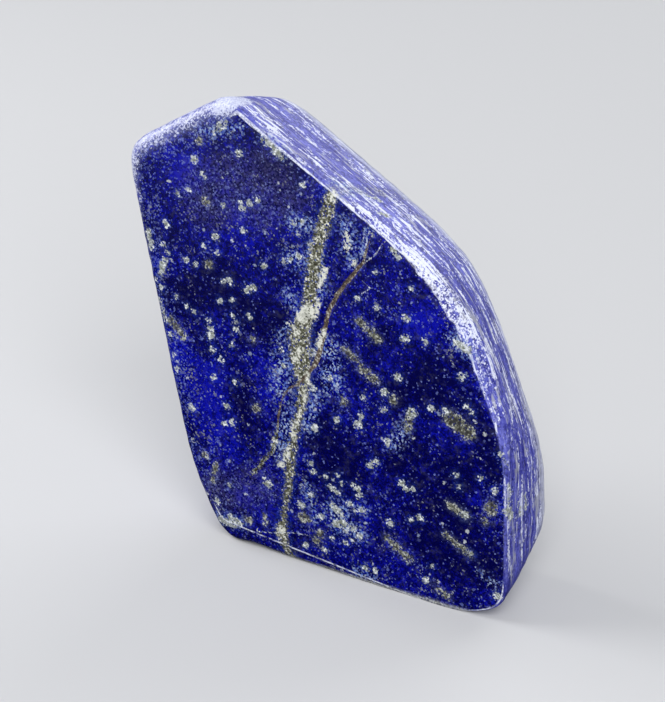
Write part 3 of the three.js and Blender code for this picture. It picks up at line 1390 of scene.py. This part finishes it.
def body_group() -> Tree:
    """The blue stone itself: cloudy navy and cobalt crystals, with pale sugary ones between.

    Returns:
        The shader group.
    """
    colours = dict.fromkeys(("Navy", "Blue", "Cobalt", "Pale", "Buff"), "Color")
    group = Group(Effect.BODY, Place="Vector", Tone="Float", Dust="Float", **colours)
    graph, given, place = group.graph, group.given, group.given["Place"]
    cloudy = graph.noise(place, 9.0, rough=0.6)
    patchy = graph.noise(place, 1.5, detail=2.0, rough=0.6)
    fine, coarse = graph.crystals(place, 0.37), graph.crystals(place, 0.7)
    tone = graph.total(
        given["Tone"], (cloudy, 1.0), (patchy, 0.9), (fine["Green"], 0.6), (coarse["Green"], 0.3)
    )
    blue = graph.mix(graph.step(tone, 1.07, 1.57), given["Navy"], given["Blue"])
    blue = graph.mix(graph.step(tone, 1.42, 1.97), blue, given["Cobalt"])
    smoky = graph.step(graph.noise(place, 1.9, rough=0.75), 0.50, 0.72)
    blue = graph.over(blue, given["Buff"], smoky, 0.09)
    chance = graph.math("ADD", graph.noise(place, 3.0, detail=4.0, rough=0.75), given["Dust"])
    density = graph.spread(graph.step(chance, 0.40, 0.80), 0.03, 0.33)
    pale = graph.math("LESS_THAN", fine["Red"], density)
    pale = graph.product(pale, graph.spread(fine["Blue"], 0.1, 1.0))
    grains = graph.math("LESS_THAN", coarse["Red"], graph.product(density, 0.18))
    grains = graph.product(grains, graph.spread(coarse["Blue"], 0.1, 0.7))
    buff = graph.step(graph.noise(place, 6.0, detail=2.0, rough=0.6), 0.50, 0.66)
    tint = graph.over(given["Pale"], given["Buff"], buff, 0.85)
    colour = graph.over(blue, tint, graph.most(pale, grains))
    return group.gives(Color=colour, Grit=fine["Green"])


def flecks_group() -> Tree:
    """Small flecks, scattered at random: some spots have one, some have none.

    Returns:
        The shader group.
    """
    group = Group(Effect.FLECKS, Place="Vector", Spacing="Float", Share="Float", Size="Float")
    graph, given, place = group.graph, group.given, group.given["Place"]
    distance, parts = graph.cells(place, graph.math("DIVIDE", 1.0, given["Spacing"]))
    away = graph.product(distance, given["Spacing"])
    away = graph.total(away, (graph.math("SUBTRACT", graph.crystals(place, 0.5)["Red"], 0.5), 0.6))
    size = graph.product(given["Size"], graph.spread(parts["Green"], 0.4, 1.0))
    mask = graph.step(graph.math("SUBTRACT", size, away), -0.08, 0.14)
    picked = graph.math("LESS_THAN", parts["Red"], given["Share"])
    return group.gives(Mask=graph.product(mask, picked), Pick=parts["Blue"])


def inclusion_group() -> Tree:
    """A mineral inclusion from the distance to it: crystals of its own, and a ragged edge.

    Returns:
        The shader group.
    """
    values = dict.fromkeys(("Gap", "Crystal", "Ragged", "Soft", "Missing", "Shade", "Core"), "Float")
    colours = dict.fromkeys(("Light", "Middle", "Dark"), "Color")
    group = Group(Effect.INCLUSION, Place="Vector", **values, **colours)
    graph, given, place = group.graph, group.given, group.given["Place"]
    _, parts = graph.cells(place, graph.math("DIVIDE", 1.0, given["Crystal"]))
    wander = graph.math("SUBTRACT", graph.noise(place, 1.6), 0.5)
    wander = graph.total(wander, (graph.math("SUBTRACT", parts["Red"], 0.5), 0.5))
    gap = graph.total(given["Gap"], (wander, given["Ragged"]))
    inside = graph.math("DIVIDE", graph.math("MULTIPLY", gap, -1.0), given["Soft"])
    mask = graph.step(inside, -0.5, 0.5)
    whole = graph.math("GREATER_THAN", parts["Blue"], given["Missing"])
    patch = graph.noise(place, 0.8)
    core = graph.math("MAXIMUM", given["Gap"], -1.5)
    shade = graph.total(given["Shade"], (patch, 1.9), (parts["Green"], 0.6), (core, given["Core"]))
    colour = graph.mix(graph.step(shade, 0.63, 1.03), given["Dark"], given["Middle"])
    colour = graph.mix(graph.step(shade, 0.98, 1.38), colour, given["Light"])
    return group.gives(
        Mask=graph.product(mask, whole),
        Halo=graph.step(gap, 1.6, 0.0),
        Color=colour,
        Height=graph.product(mask, parts["Green"]),
    )


def grinding_group() -> Tree:
    """The streaks of a coarse wheel, drawn out along the way that it ran.

    Returns:
        The shader group.
    """
    group = Group(Effect.GRINDING, Place="Vector", Stretch="Vector", White="Float")
    graph, given = group.graph, group.given
    sway = {"Vector": given["Place"], "Scale": 0.06, "Detail": 2.0}
    sway = graph.add("ShaderNodeTexNoise", sway).outputs["Color"]
    bent = {0: given["Place"], 1: graph.scaled(sway, (0.0, 0.0, 3.0))}
    bent = graph.add("ShaderNodeVectorMath", bent).outputs[0]
    place = graph.scaled(bent, given["Stretch"])
    flow = graph.noise(place, 1.2, rough=0.75)
    zone = graph.noise(place, 2.6, detail=2.0, rough=0.5)
    broad, fine = graph.crystals(place, 0.85), graph.crystals(place, 0.5)
    grit = graph.crystals(given["Place"], 0.5)
    score = graph.total(
        given["White"], (flow, 1.1), (zone, 0.9), (broad["Red"], 0.75), (fine["Red"], 0.4),
        (grit["Red"], 0.4),
    )
    pits = graph.total(0.0, (fine["Green"], 0.6), (grit["Green"], 0.8))
    tan = graph.noise(place, 2.0, detail=2.0, rough=0.6)
    tan = graph.total(tan, (fine["Green"], 0.3))
    shade = graph.total(
        -1.02, (broad["Blue"], 0.6), (fine["Blue"], 0.35), (grit["Blue"], 0.5), (zone, 1.6)
    )
    return group.gives(
        Streaks=graph.step(score, 1.86, 2.12),
        Tan=graph.step(tan, 0.74, 0.86),
        Shade=shade,
        Pits=graph.step(pits, 0.56, 0.34),
        Height=graph.total(flow, (fine["Red"], 0.4)),
    )


EFFECTS = {
    Effect.BODY: body_group,
    Effect.FLECKS: flecks_group,
    Effect.INCLUSION: inclusion_group,
    Effect.GRINDING: grinding_group,
}


# ---------------------------------------------------------------- finishes


@dataclass(frozen=True)
class StoneTints:
    """The colours of the stone's minerals, and of the painted highlights on two of its edges, as
    screen numbers.
    """

    navy: tuple = linear(0, 0, 60)
    blue: tuple = linear(2, 4, 102)
    cobalt: tuple = linear(6, 11, 156)
    pale: tuple = linear(98, 110, 174)
    buff: tuple = linear(122, 123, 122)
    calcite: tuple = linear(228, 232, 232)
    ash: tuple = linear(154, 160, 158)
    sugar: tuple = linear(156, 170, 198)
    sky: tuple = linear(90, 116, 186)
    haze: tuple = linear(48, 74, 168)
    mauve: tuple = linear(84, 80, 124)
    olive: tuple = linear(100, 101, 82)
    olive_dark: tuple = linear(48, 46, 34)
    # also the painted glint along the foot's lowest edge
    sand: tuple = linear(196, 198, 186)
    crack: tuple = linear(112, 96, 82)
    crack_dark: tuple = linear(58, 46, 40)
    khaki: tuple = linear(108, 112, 96)
    cream: tuple = linear(222, 222, 212)
    violet: tuple = linear(34, 34, 150)
    powder: tuple = linear(108, 112, 208)
    slate: tuple = linear(166, 168, 196)
    # also the painted highlight along the edge round the back
    rime: tuple = linear(214, 218, 236)
    mist: tuple = linear(138, 143, 186)
    chalk: tuple = linear(228, 232, 250)

@dataclass(frozen=True)
class StoneFinish:
    """How the stone shines.

    Attributes:
        polished: The roughness of the polished lazurite.
        mineral: The roughness of the vein and the inclusions.
        ground: The roughness where the stone is only ground.
        streaked: How much the roughness varies with the grinding streaks.
        dull: The roughness of the crack, the chalk and the frost.
        sawn: The least and the most roughness of the sawn base.
        specular: The strength of the gloss.
        bump: How deep the finest relief is, in millimetres.
    """

    polished: float = 0.13
    mineral: float = 0.32
    ground: float = 0.40
    streaked: float = 0.12
    dull: float = 0.6
    sawn: tuple[float, float] = (0.55, 0.7)
    specular: float = 0.5
    bump: float = 0.2


TINTS = StoneTints()
FINISH = StoneFinish()


@dataclass(frozen=True)
class Inclusion:
    """How a mineral inclusion looks.

    Attributes:
        gap: The mesh's value that holds the distance to it.
        light: The colour of its lightest crystals.
        middle: The colour of most of them.
        dark: The colour of its darkest ones.
        crystal: Their size, in millimetres.
        ragged: How far its edge wanders, in millimetres.
        soft: How wide its edge is, in millimetres.
        missing: The share of crystals that are blue stone instead.
        shade: How much lighter than usual its crystals are.
        core: How much darker they are for each millimetre further inside.
        strength: How strongly it covers the stone.
        halo: How strongly the stone round it is tinted.
        halo_tint: The colour of that tint.
        dragged: Whether the grinding streaks cover it.
    """

    gap: str
    light: tuple
    middle: tuple
    dark: tuple
    crystal: float
    ragged: float
    soft: float
    missing: float = 0.0
    shade: float = 0.0
    core: float = 0.0
    strength: float = 1.0
    halo: float = 0.0
    halo_tint: tuple = TINTS.haze
    dragged: bool = False


CLOUD = Inclusion(
    "cloud_gap", TINTS.sugar, TINTS.sky, TINTS.haze, 0.45, 4.0, 3.5, missing=0.66, shade=-0.1
)
OLIVE = Inclusion(
    "olive_gap", TINTS.sand, TINTS.olive, TINTS.olive_dark, 0.42, 1.7, 0.5, missing=0.12,
    shade=-0.16, core=0.25, strength=0.85, halo=0.1, halo_tint=TINTS.sugar,
)
CALCITE = Inclusion(
    "grain_gap", TINTS.calcite, TINTS.ash, TINTS.khaki, 0.44, 1.5, 0.45, missing=0.07,
    shade=-0.16, core=0.25, strength=0.95, halo=0.25,
)
VEIN = Inclusion(
    "vein_gap", TINTS.cream, TINTS.olive, TINTS.olive_dark, 0.38, 2.4, 0.9, missing=0.07,
    shade=-0.31, halo=0.5, dragged=True,
)
CRACK = Inclusion(
    "crack_gap", TINTS.sand, TINTS.crack, TINTS.crack_dark, 0.4, 0.5, 0.3, shade=-0.4, dragged=True
)
BRANCH = Inclusion(
    "branch_gap", TINTS.sand, TINTS.olive, TINTS.olive_dark, 0.36, 1.2, 0.5, missing=0.25,
    shade=-0.3, dragged=True,
)
CHALK = Inclusion(
    "chalk_gap", TINTS.cream, TINTS.sand, TINTS.olive, 0.5, 1.6, 0.6, missing=0.12, shade=-0.05,
    strength=0.95,
)
HAIRLINE = Inclusion("hair_gap", TINTS.calcite, TINTS.sugar, TINTS.haze, 0.4, 0.25, 0.25)
PLACED = (OLIVE, CALCITE, VEIN, CRACK, BRANCH, CHALK, HAIRLINE)  # each one over those before it


# ---------------------------------------------------------------- materials


class StoneMaterial:
    """A material of the stone, built from the shared shader groups."""

    def __init__(self, name: str, groups: dict[Effect, Tree]) -> None:
        """Starts the material.

        Args:
            name: The material's name.
            groups: The shared shader groups.
        """
        self.material = bpy.data.materials.new(name)
        self.material.use_nodes = True
        self.groups = groups
        self.graph = Graph(self.material.node_tree)
        place = self.graph.add("ShaderNodeTexCoord").outputs["Object"]
        self.place = self.graph.scaled(place, 1 / MM)
        self.held: dict[str, Socket] = {}

    def value(self, name: str) -> Socket:
        """A value that the mesh holds, from one node however often it is read.

        Args:
            name: The value's name.

        Returns:
            The value.
        """
        if name not in self.held:
            self.held[name] = self.graph.attribute(name).outputs["Fac"]
        return self.held[name]

    def use(self, effect: Effect, inputs: dict) -> Outputs:
        """Places a shared group in the material, and gives its outputs."""
        return self.graph.add("ShaderNodeGroup", inputs, node_tree=self.groups[effect]).outputs

    def body(self, tone: object, dust: object) -> Outputs:
        """The blue stone's own colour.

        Args:
            tone: How much lighter than usual the stone is.
            dust: How much more pale sugar it holds.

        Returns:
            Its colour and its grit.
        """
        tints = ("navy", "blue", "cobalt", "pale", "buff")
        colours = {tint.title(): getattr(TINTS, tint) for tint in tints}
        return self.use(Effect.BODY, {"Place": self.place, "Tone": tone, "Dust": dust, **colours})

    def flecks(self, spacing: float, share: float, size: float) -> Outputs:
        """Small flecks: their spacing and size in millimetres, and the share of spots with one."""
        inputs = {"Place": self.place, "Spacing": spacing, "Share": share, "Size": size}
        return self.use(Effect.FLECKS, inputs)

    def inclusion(self, look: Inclusion) -> Outputs:
        """A mineral whose distance the mesh holds.

        Args:
            look: How the mineral looks.

        Returns:
            Its mask, halo, colour and height.
        """
        inputs = {
            "Place": self.place, "Gap": self.value(look.gap), "Crystal": look.crystal,
            "Ragged": look.ragged, "Soft": look.soft, "Missing": look.missing, "Shade": look.shade,
            "Core": look.core, "Light": look.light, "Middle": look.middle, "Dark": look.dark,
        }
        return self.use(Effect.INCLUSION, inputs)

    def finished(
        self, colour: Socket, rough: Socket, height: Socket, strength: float
    ) -> bpy.types.Material:
        """Feeds the material's shader.

        Args:
            colour: Its colour.
            rough: Its roughness.
            height: The height of its finest relief.
            strength: How strongly that relief shows.

        Returns:
            The material.
        """
        relief = {"Height": height, "Strength": strength, "Distance": FINISH.bump * MM}
        inputs = {
            "Base Color": colour,
            "Roughness": rough,
            "Specular IOR Level": FINISH.specular,
            "Normal": self.graph.add("ShaderNodeBump", relief).outputs[0],
        }
        self.graph.feed(self.material.node_tree.nodes["Principled BSDF"], inputs)
        return self.material


class SkinMaterial(StoneMaterial):
    """The polished, ground and worn skin, with painted highlights on two edges, laid on coat by coat.
    """

    stretch = (0.15, 0.15, 1.0)  # draws the streaks out round the rim
    speck = 0.33  # the size of the frost's finest grains, in millimetres

    def __init__(self, name: str, groups: dict[Effect, Tree]) -> None:
        """Starts the material with the effects that more than one coat reads.

        Args:
            name: The material's name.
            groups: The shared shader groups.
        """
        super().__init__(name, groups)
        graph = self.graph
        self.rim_place = graph.attribute("rim_place").outputs["Vector"]
        inputs = {"Place": self.rim_place, "Stretch": self.stretch, "White": self.value("white")}
        self.streaks = self.use(Effect.GRINDING, inputs)
        cobalt = graph.step(self.value("cobalt_gap"), 4.0, -2.0)
        navy = graph.step(self.value("navy_gap"), 4.0, -2.0)
        self.haze = graph.step(self.value("haze_gap"), 3.0, -3.0)
        self.looks = {look: self.inclusion(look) for look in (CLOUD, *PLACED)}
        halo = self.looks[CLOUD]["Halo"]
        tone = graph.total(0.0, (cobalt, 0.35), (navy, -0.3))
        dust = graph.total(
            0.0, (self.value("dusty"), 0.2), (halo, 0.1), (navy, -0.12), (self.haze, 0.08)
        )
        self.blue = self.body(tone, dust)
        self.grit = self.blue["Grit"]
        cover = graph.spread(graph.step(self.streaks["Shade"], 0.4, 0.7), 0.97, 0.5)
        bare = graph.total(1.0, (graph.product(self.value("streaked"), cover), -1.0))
        self.bare = {look: (bare,) if look.dragged else () for look in PLACED}
        self.masks = {
            look: graph.product(self.looks[look]["Mask"], *self.bare[look]) for look in PLACED
        }
        self.frost = self.frost_mask()
        self.crease = self.crease_mask()

    def build(self) -> bpy.types.Material:
        """Builds the material.

        Returns:
            The material.
        """
        graph = self.graph
        clean = graph.step(self.grit, 0.1, 0.9)
        stone = graph.over(self.blue["Color"], TINTS.mauve, self.haze, clean, 0.3)
        colour = graph.mix(self.value("streaked"), stone, self.powder(stone))
        colour = self.worn_and_highlighted(self.minerals(self.frosted(colour)))
        height = graph.product(self.value("streaked"), self.streaks["Height"], 0.6)
        height = graph.total(height, (self.looks[VEIN]["Height"], 0.5))
        return self.finished(colour, self.roughness(), height, strength=0.6)

    def powder(self, stone: object) -> Socket:
        """Works out the rim's powdery colour, streaked by the wheel and white on the chamfer.

        Args:
            stone: The colour of the stone, which shows in its pits.

        Returns:
            The rim's colour.
        """
        graph, streaks, chamfer = self.graph, self.streaks, self.value("chamfer")
        powder = graph.mix(streaks["Shade"], TINTS.violet, TINTS.powder)
        powder = graph.over(powder, TINTS.slate, self.value("far"), 0.85)
        powder = graph.mix(graph.spread(streaks["Pits"], 0.1, 0.7), powder, stone)
        powder = graph.over(powder, TINTS.sand, streaks["Tan"], 0.5)
        powder = graph.over(powder, TINTS.chalk, streaks["Streaks"], 0.9)
        patches = graph.noise(self.place, 1.6)
        mottle = graph.step(graph.total(self.grit, (patches, 1.2), (chamfer, 0.5)), 1.45, 1.85)
        return graph.over(powder, TINTS.chalk, mottle, graph.step(chamfer, 0.0, 0.3), 0.85)

    def frosted(self, colour: object) -> Socket:
        """Frosts the rounded edges with pale grains.

        Args:
            colour: The colour under the frost.

        Returns:
            The colour with it.
        """
        graph, frost = self.graph, self.value("frost")
        colour = graph.over(colour, TINTS.mist, graph.step(frost, 0.6, 1.1), 0.3)
        specks = graph.crystals(self.place, self.speck)
        pale = graph.total(0.0, (frost, 0.2), (specks["Blue"], 0.8))
        return graph.over(colour, graph.mix(pale, TINTS.mist, TINTS.rime), self.frost, 0.9)

    def frost_mask(self) -> Socket:
        """Where the pale grains of the frost lie.

        Returns:
            The mask.
        """
        graph, frost = self.graph, self.value("frost")
        patches = graph.noise(self.place, 2.2)
        grains, specks = (graph.crystals(self.place, size)["Red"] for size in (0.6, self.speck))
        score = graph.total(-0.75, (frost, 1.5), (patches, 0.8), (grains, 0.5), (specks, 0.5))
        return graph.product(graph.step(score, 1.44, 1.84), graph.step(frost, 0.0, 0.06))

    def minerals(self, colour: object) -> Socket:
        """Lays the clouds, small flecks, placed inclusions and seams on, one over the other.

        Args:
            colour: The colour under them.

        Returns:
            The colour with them.
        """
        graph = self.graph
        cloud = self.looks[CLOUD]
        colour = graph.mix(cloud["Mask"], colour, cloud["Color"])
        small = self.flecks(spacing=2.9, share=0.38, size=0.5)
        tint = graph.mix(graph.step(small["Pick"], 0.3, 0.9), TINTS.calcite, TINTS.sugar)
        colour = graph.over(colour, tint, small["Mask"], 0.5)
        for look in PLACED:
            mineral = self.looks[look]
            if look.halo:
                shares = (mineral["Halo"], self.grit, *self.bare[look], look.halo)
                colour = graph.over(colour, look.halo_tint, *shares)
            colour = graph.over(colour, mineral["Color"], self.masks[look], look.strength)
        return colour

    def worn_and_highlighted(self, colour: object) -> Socket:
        """Whitens the crease, and paints highlights along the edge round the back and the foot's
        lowest edge.

        Args:
            colour: The colour under the wear and the painted highlights.

        Returns:
            The colour with them.
        """
        graph, shade = self.graph, self.streaks["Shade"]
        grain = graph.step(graph.total(0.0, (self.grit, 0.5), (shade, 0.5)), 0.2, 0.7)
        colour = graph.over(colour, TINTS.rime, self.crease, graph.spread(grain, 0.35, 1.0))
        # Painted highlight: a pale rime line along the ragged edge round the back, where it would
        # catch the light.
        back_edge = (self.value("back_edge"), graph.spread(shade, 0.3, 0.85))
        colour = graph.over(colour, TINTS.rime, *back_edge)
        # Painted highlight: a pale sand glint along the foot's lowest edge.
        floor_glint = (self.value("floor_glint"), graph.spread(self.grit, 0.2, 0.9))
        return graph.over(colour, TINTS.sand, *floor_glint)

    def crease_mask(self) -> Socket:
        """Where the chalky line along the crease shows: it is wider and less broken where worn.

        Returns:
            The mask.
        """
        graph, chalky = self.graph, self.value("chalky")
        off_line = graph.math("ABSOLUTE", graph.math("SUBTRACT", self.value("past"), 0.25))
        line = graph.step(graph.total(off_line, (chalky, -0.38)), 0.16, -0.06)
        broken = graph.noise(graph.scaled(self.rim_place, (0.5, 0.5, 1.0)), 1.0, detail=2.0)
        broken = graph.step(graph.total(broken, (chalky, 0.5)), 0.53, 0.72)
        return graph.product(line, broken, graph.step(chalky, 0.02, 0.1))

    def roughness(self) -> Socket:
        """Works out the gloss: minerals are duller than the stone, and ground stone is satin.

        Returns:
            The roughness.
        """
        graph = self.graph
        minerals = graph.most(*(self.masks[look] for look in (VEIN, CALCITE, OLIVE)))
        polished = graph.total(FINISH.polished, (minerals, FINISH.mineral - FINISH.polished))
        ground = graph.total(FINISH.ground, (self.streaks["Height"], FINISH.streaked))
        mixed = {0: self.value("ground"), 2: polished, 3: ground}
        mixed = graph.add("ShaderNodeMix", mixed).outputs[0]
        dull = graph.most(self.masks[CRACK], self.crease, self.frost)
        return graph.most(mixed, graph.product(dull, FINISH.dull))


class BaseMaterial(StoneMaterial):
    """The sawn base: dull, powdery and marked by the blade."""

    def build(self) -> bpy.types.Material:
        """Builds the material.

        Returns:
            The material.
        """
        graph = self.graph
        body = self.body(0.1, 0.05)
        marks = self.use(
            Effect.GRINDING, {"Place": self.place, "Stretch": (0.08, 1.0, 1.0), "White": -0.08}
        )
        colour = graph.mix(0.5, body["Color"], TINTS.powder)
        colour = graph.over(colour, TINTS.chalk, marks["Streaks"], 0.6)
        flecks = self.flecks(spacing=3.3, share=0.5, size=0.7)
        colour = graph.mix(flecks["Mask"], colour, TINTS.calcite)
        rough = graph.spread(marks["Height"], *FINISH.sawn)
        return self.finished(colour, rough, marks["Height"], strength=0.5)


# ---------------------------------------------------------------- the piece


@dataclass
class LapisStone:
    """The visible stone, which stands for the CAD solid.

    Attributes:
        node: The CAD node that it replaces.
        name: The piece's name.
        sawn: How near the floor a face of the sawn base lies, in millimetres.
        downward: How far down such a face looks: 0 is level and -1 straight down.
        on_floor: How near the floor a point of the base lies, in millimetres.
    """

    node: str = STONE_NODE
    name: str = "lapis_stone_skin"
    sawn: float = 0.15
    downward: float = -0.9
    on_floor: float = 0.02

    def build(self) -> bpy.types.Object:
        """Makes the stone with its relief, its markings and its materials.

        Returns:
            The stone.
        """
        low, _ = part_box(self.node)
        space = SlabSpace(LEAN, low.y / MM)
        skin = StoneSkin(StoneForm(CadSections(self.node, space)))
        marks = StoneMarks(skin)
        mesh = skin.mesh(self.name)
        self.carve(mesh, StoneRelief(marks))
        self.mark(mesh, skin, marks)
        self.dress(mesh)
        piece = bpy.data.objects.new(self.name, mesh)
        bpy.context.scene.collection.objects.link(piece)
        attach(piece, "root")
        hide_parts("lapis_stone")
        triangles = sum(face.loop_total - 2 for face in mesh.polygons)
        LOG.info("%s: %d points, %d triangles", piece.name, len(mesh.vertices), triangles)
        return piece

    def carve(self, mesh: bpy.types.Mesh, relief: StoneRelief) -> None:
        """Moves the mesh's points by the relief, and keeps its base flat on the floor.

        Args:
            mesh: The stone's mesh.
            relief: Its relief.
        """
        count = len(mesh.vertices)
        points, normals = np.zeros(count * 3), np.zeros(count * 3)
        mesh.vertices.foreach_get("co", points)
        mesh.vertex_normals.foreach_get("vector", normals)
        points, normals = points.reshape(-1, 3), normals.reshape(-1, 3)
        moved = points + normals * relief.heights()[:, None] * MM
        on_floor = points[:, 2] < self.on_floor * MM
        moved[:, 2] = np.where(on_floor, 0.0, np.maximum(moved[:, 2], 0.0))
        mesh.vertices.foreach_set("co", moved.astype(np.float32).ravel())
        mesh.update()

    def mark(self, mesh: bpy.types.Mesh, skin: StoneSkin, marks: StoneMarks) -> None:
        """Stores the markings on the mesh's points.

        Args:
            mesh: The stone's mesh.
            skin: Its skin.
            marks: Its markings.
        """
        for name, values in marks.values.items():
            layer = mesh.attributes.new(name, "FLOAT", "POINT")
            layer.data.foreach_set("value", values.astype(np.float32))
        around = skin.way_round(skin.turn) * math.tau
        radius = skin.girth()[-1] / math.tau
        place = np.stack([radius * np.cos(around), radius * np.sin(around), skin.past], axis=1)
        layer = mesh.attributes.new("rim_place", "FLOAT_VECTOR", "POINT")
        layer.data.foreach_set("vector", place.astype(np.float32).ravel())

    def dress(self, mesh: bpy.types.Mesh) -> None:
        """Gives the mesh its materials: one for the skin and one for the sawn base.

        Args:
            mesh: The stone's mesh.
        """
        groups = {effect: make() for effect, make in EFFECTS.items()}
        mesh.materials.append(SkinMaterial("lapis_skin", groups).build())
        mesh.materials.append(BaseMaterial("sawn_base", groups).build())
        for face in mesh.polygons:
            sawn = face.normal.z < self.downward and face.center.z < self.sawn * MM
            face.material_index = int(sawn)


# ---------------------------------------------------------------- the stage


@dataclass(frozen=True)
class Softbox:
    """A soft studio light.

    Attributes:
        name: Its name.
        towards: The direction from the stone to it.
        distance: How far from the stone it hangs, in metres.
        size: Its width and height, in metres.
        watts: Its power.
        glossy: Whether it shows in the polish.
    """

    name: str
    towards: tuple[float, float, float]
    distance: float
    size: tuple[float, float]
    watts: float
    glossy: bool = True

    def hang(self, target: Vector) -> None:
        """Hangs the light, aimed at the target.

        Args:
            target: What it is aimed at.
        """
        data = bpy.data.lights.new(self.name, "AREA")
        data.shape = "RECTANGLE"
        data.size, data.size_y = self.size
        data.energy = self.watts
        light = bpy.data.objects.new(self.name, data)
        way = Vector(self.towards).normalized()
        light.location = target + way * self.distance
        light.rotation_euler = way.to_track_quat("Z", "Y").to_euler()
        light.visible_glossy = self.glossy
        bpy.context.scene.collection.objects.link(light)


@dataclass(frozen=True)
class Studio:
    """The floor, the lights and the camera.

    Attributes:
        aim: The point that the camera looks at, in millimetres.
        azimuth: How far the camera stands round to the right of the front, in degrees.
        elevation: How far it stands above the floor, in degrees.
        distance: How far it stands from its aim, in millimetres.
        lens: Its focal length, in millimetres.
        sensor: The width of its sensor, in millimetres.
        floor_size: The floor's width, in metres.
        floor_tint: The floor's colour, as screen numbers.
        floor_rough: The floor's roughness.
        floor_gloss: How strong its gloss is.
        room_tint: The colour of the room's light.
        room_light: How strong that light is below and above the horizon.
        horizon: The heights, of -1 to 1, over which the one turns into the other.
        softboxes: The lights.
    """

    aim: tuple[float, float, float] = (0.8, -5.0, 53.9)
    azimuth: float = 28.0
    elevation: float = 29.0
    distance: float = 600.0
    lens: float = 130.77
    sensor: float = 36.0
    floor_size: float = 3.0
    floor_tint: tuple = linear(190, 190, 192)
    floor_rough: float = 0.9
    floor_gloss: float = 0.1
    room_tint: tuple = (0.9, 0.95, 1.0, 1.0)
    room_light: tuple[float, float] = (0.01, 0.38)
    horizon: Step = (-0.34, -0.20)
    softboxes: tuple[Softbox, ...] = (
        Softbox("rim_softbox", (0.20, 0.83, 0.60), 0.9, (0.7, 0.5), 3.0),
        Softbox("left_softbox", (-0.80, -0.10, 0.55), 0.8, (0.5, 0.5), 5.0),
        Softbox("front_fill", (0.45, -0.65, 0.75), 0.9, (0.6, 0.6), 7.0),
    )

    def build(self) -> None:
        """Lays the floor, hangs the lights and sets the camera up."""
        self.lay_floor()
        self.light_room()
        target = Vector(self.aim) * MM
        for softbox in self.softboxes:
            softbox.hang(target)
        self.set_camera(target)

    def lay_floor(self) -> None:
        """Lays a plain pale floor, which the polish doesn't mirror."""
        half = self.floor_size / 2
        corners = [(-half, -half, 0), (half, -half, 0), (half, half, 0), (-half, half, 0)]
        mesh = bpy.data.meshes.new("floor")
        mesh.from_pydata(corners, [], [(0, 1, 2, 3)])
        material = bpy.data.materials.new("pale_floor")
        material.use_nodes = True
        looks = {
            "Base Color": self.floor_tint,
            "Roughness": self.floor_rough,
            "Specular IOR Level": self.floor_gloss,
        }
        tree = material.node_tree
        Graph(tree).feed(tree.nodes["Principled BSDF"], looks)
        mesh.materials.append(material)
        floor = bpy.data.objects.new("floor", mesh)
        floor.visible_glossy = False
        bpy.context.scene.collection.objects.link(floor)

    def light_room(self) -> None:
        """Lights the room: dimly from above, and hardly at all from below."""
        world = bpy.data.worlds.new("room")
        world.use_nodes = True
        graph = Graph(world.node_tree)
        way = graph.add("ShaderNodeTexCoord").outputs["Generated"]
        height = graph.add("ShaderNodeSeparateXYZ", {0: way}).outputs["Z"]
        light = graph.spread(graph.step(height, *self.horizon), *self.room_light)
        background = world.node_tree.nodes["Background"]
        graph.feed(background, {"Color": self.room_tint, "Strength": light})
        bpy.context.scene.world = world

    def set_camera(self, target: Vector) -> None:
        """Sets the camera up, aimed at the target.

        Args:
            target: What it is aimed at.
        """
        turn, rise = math.radians(self.azimuth), math.radians(self.elevation)
        level = math.cos(rise)
        way = Vector((level * math.sin(turn), -level * math.cos(turn), math.sin(rise)))
        data = bpy.data.cameras.new("camera")
        data.sensor_fit = "AUTO"
        data.sensor_width = self.sensor
        data.lens = self.lens
        camera = bpy.data.objects.new("camera", data)
        camera.location = target + way * self.distance * MM
        camera.rotation_euler = way.to_track_quat("Z", "Y").to_euler()
        bpy.context.scene.collection.objects.link(camera)
        bpy.context.scene.camera = camera


def main() -> None:
    """Builds the studio and the stone."""
    logging.basicConfig(level=logging.INFO, format="%(name)s: %(message)s")
    Studio().build()
    LapisStone().build()
    bpy.context.scene.view_settings.view_transform = "Standard"


if __name__ == "__main__":
    main()
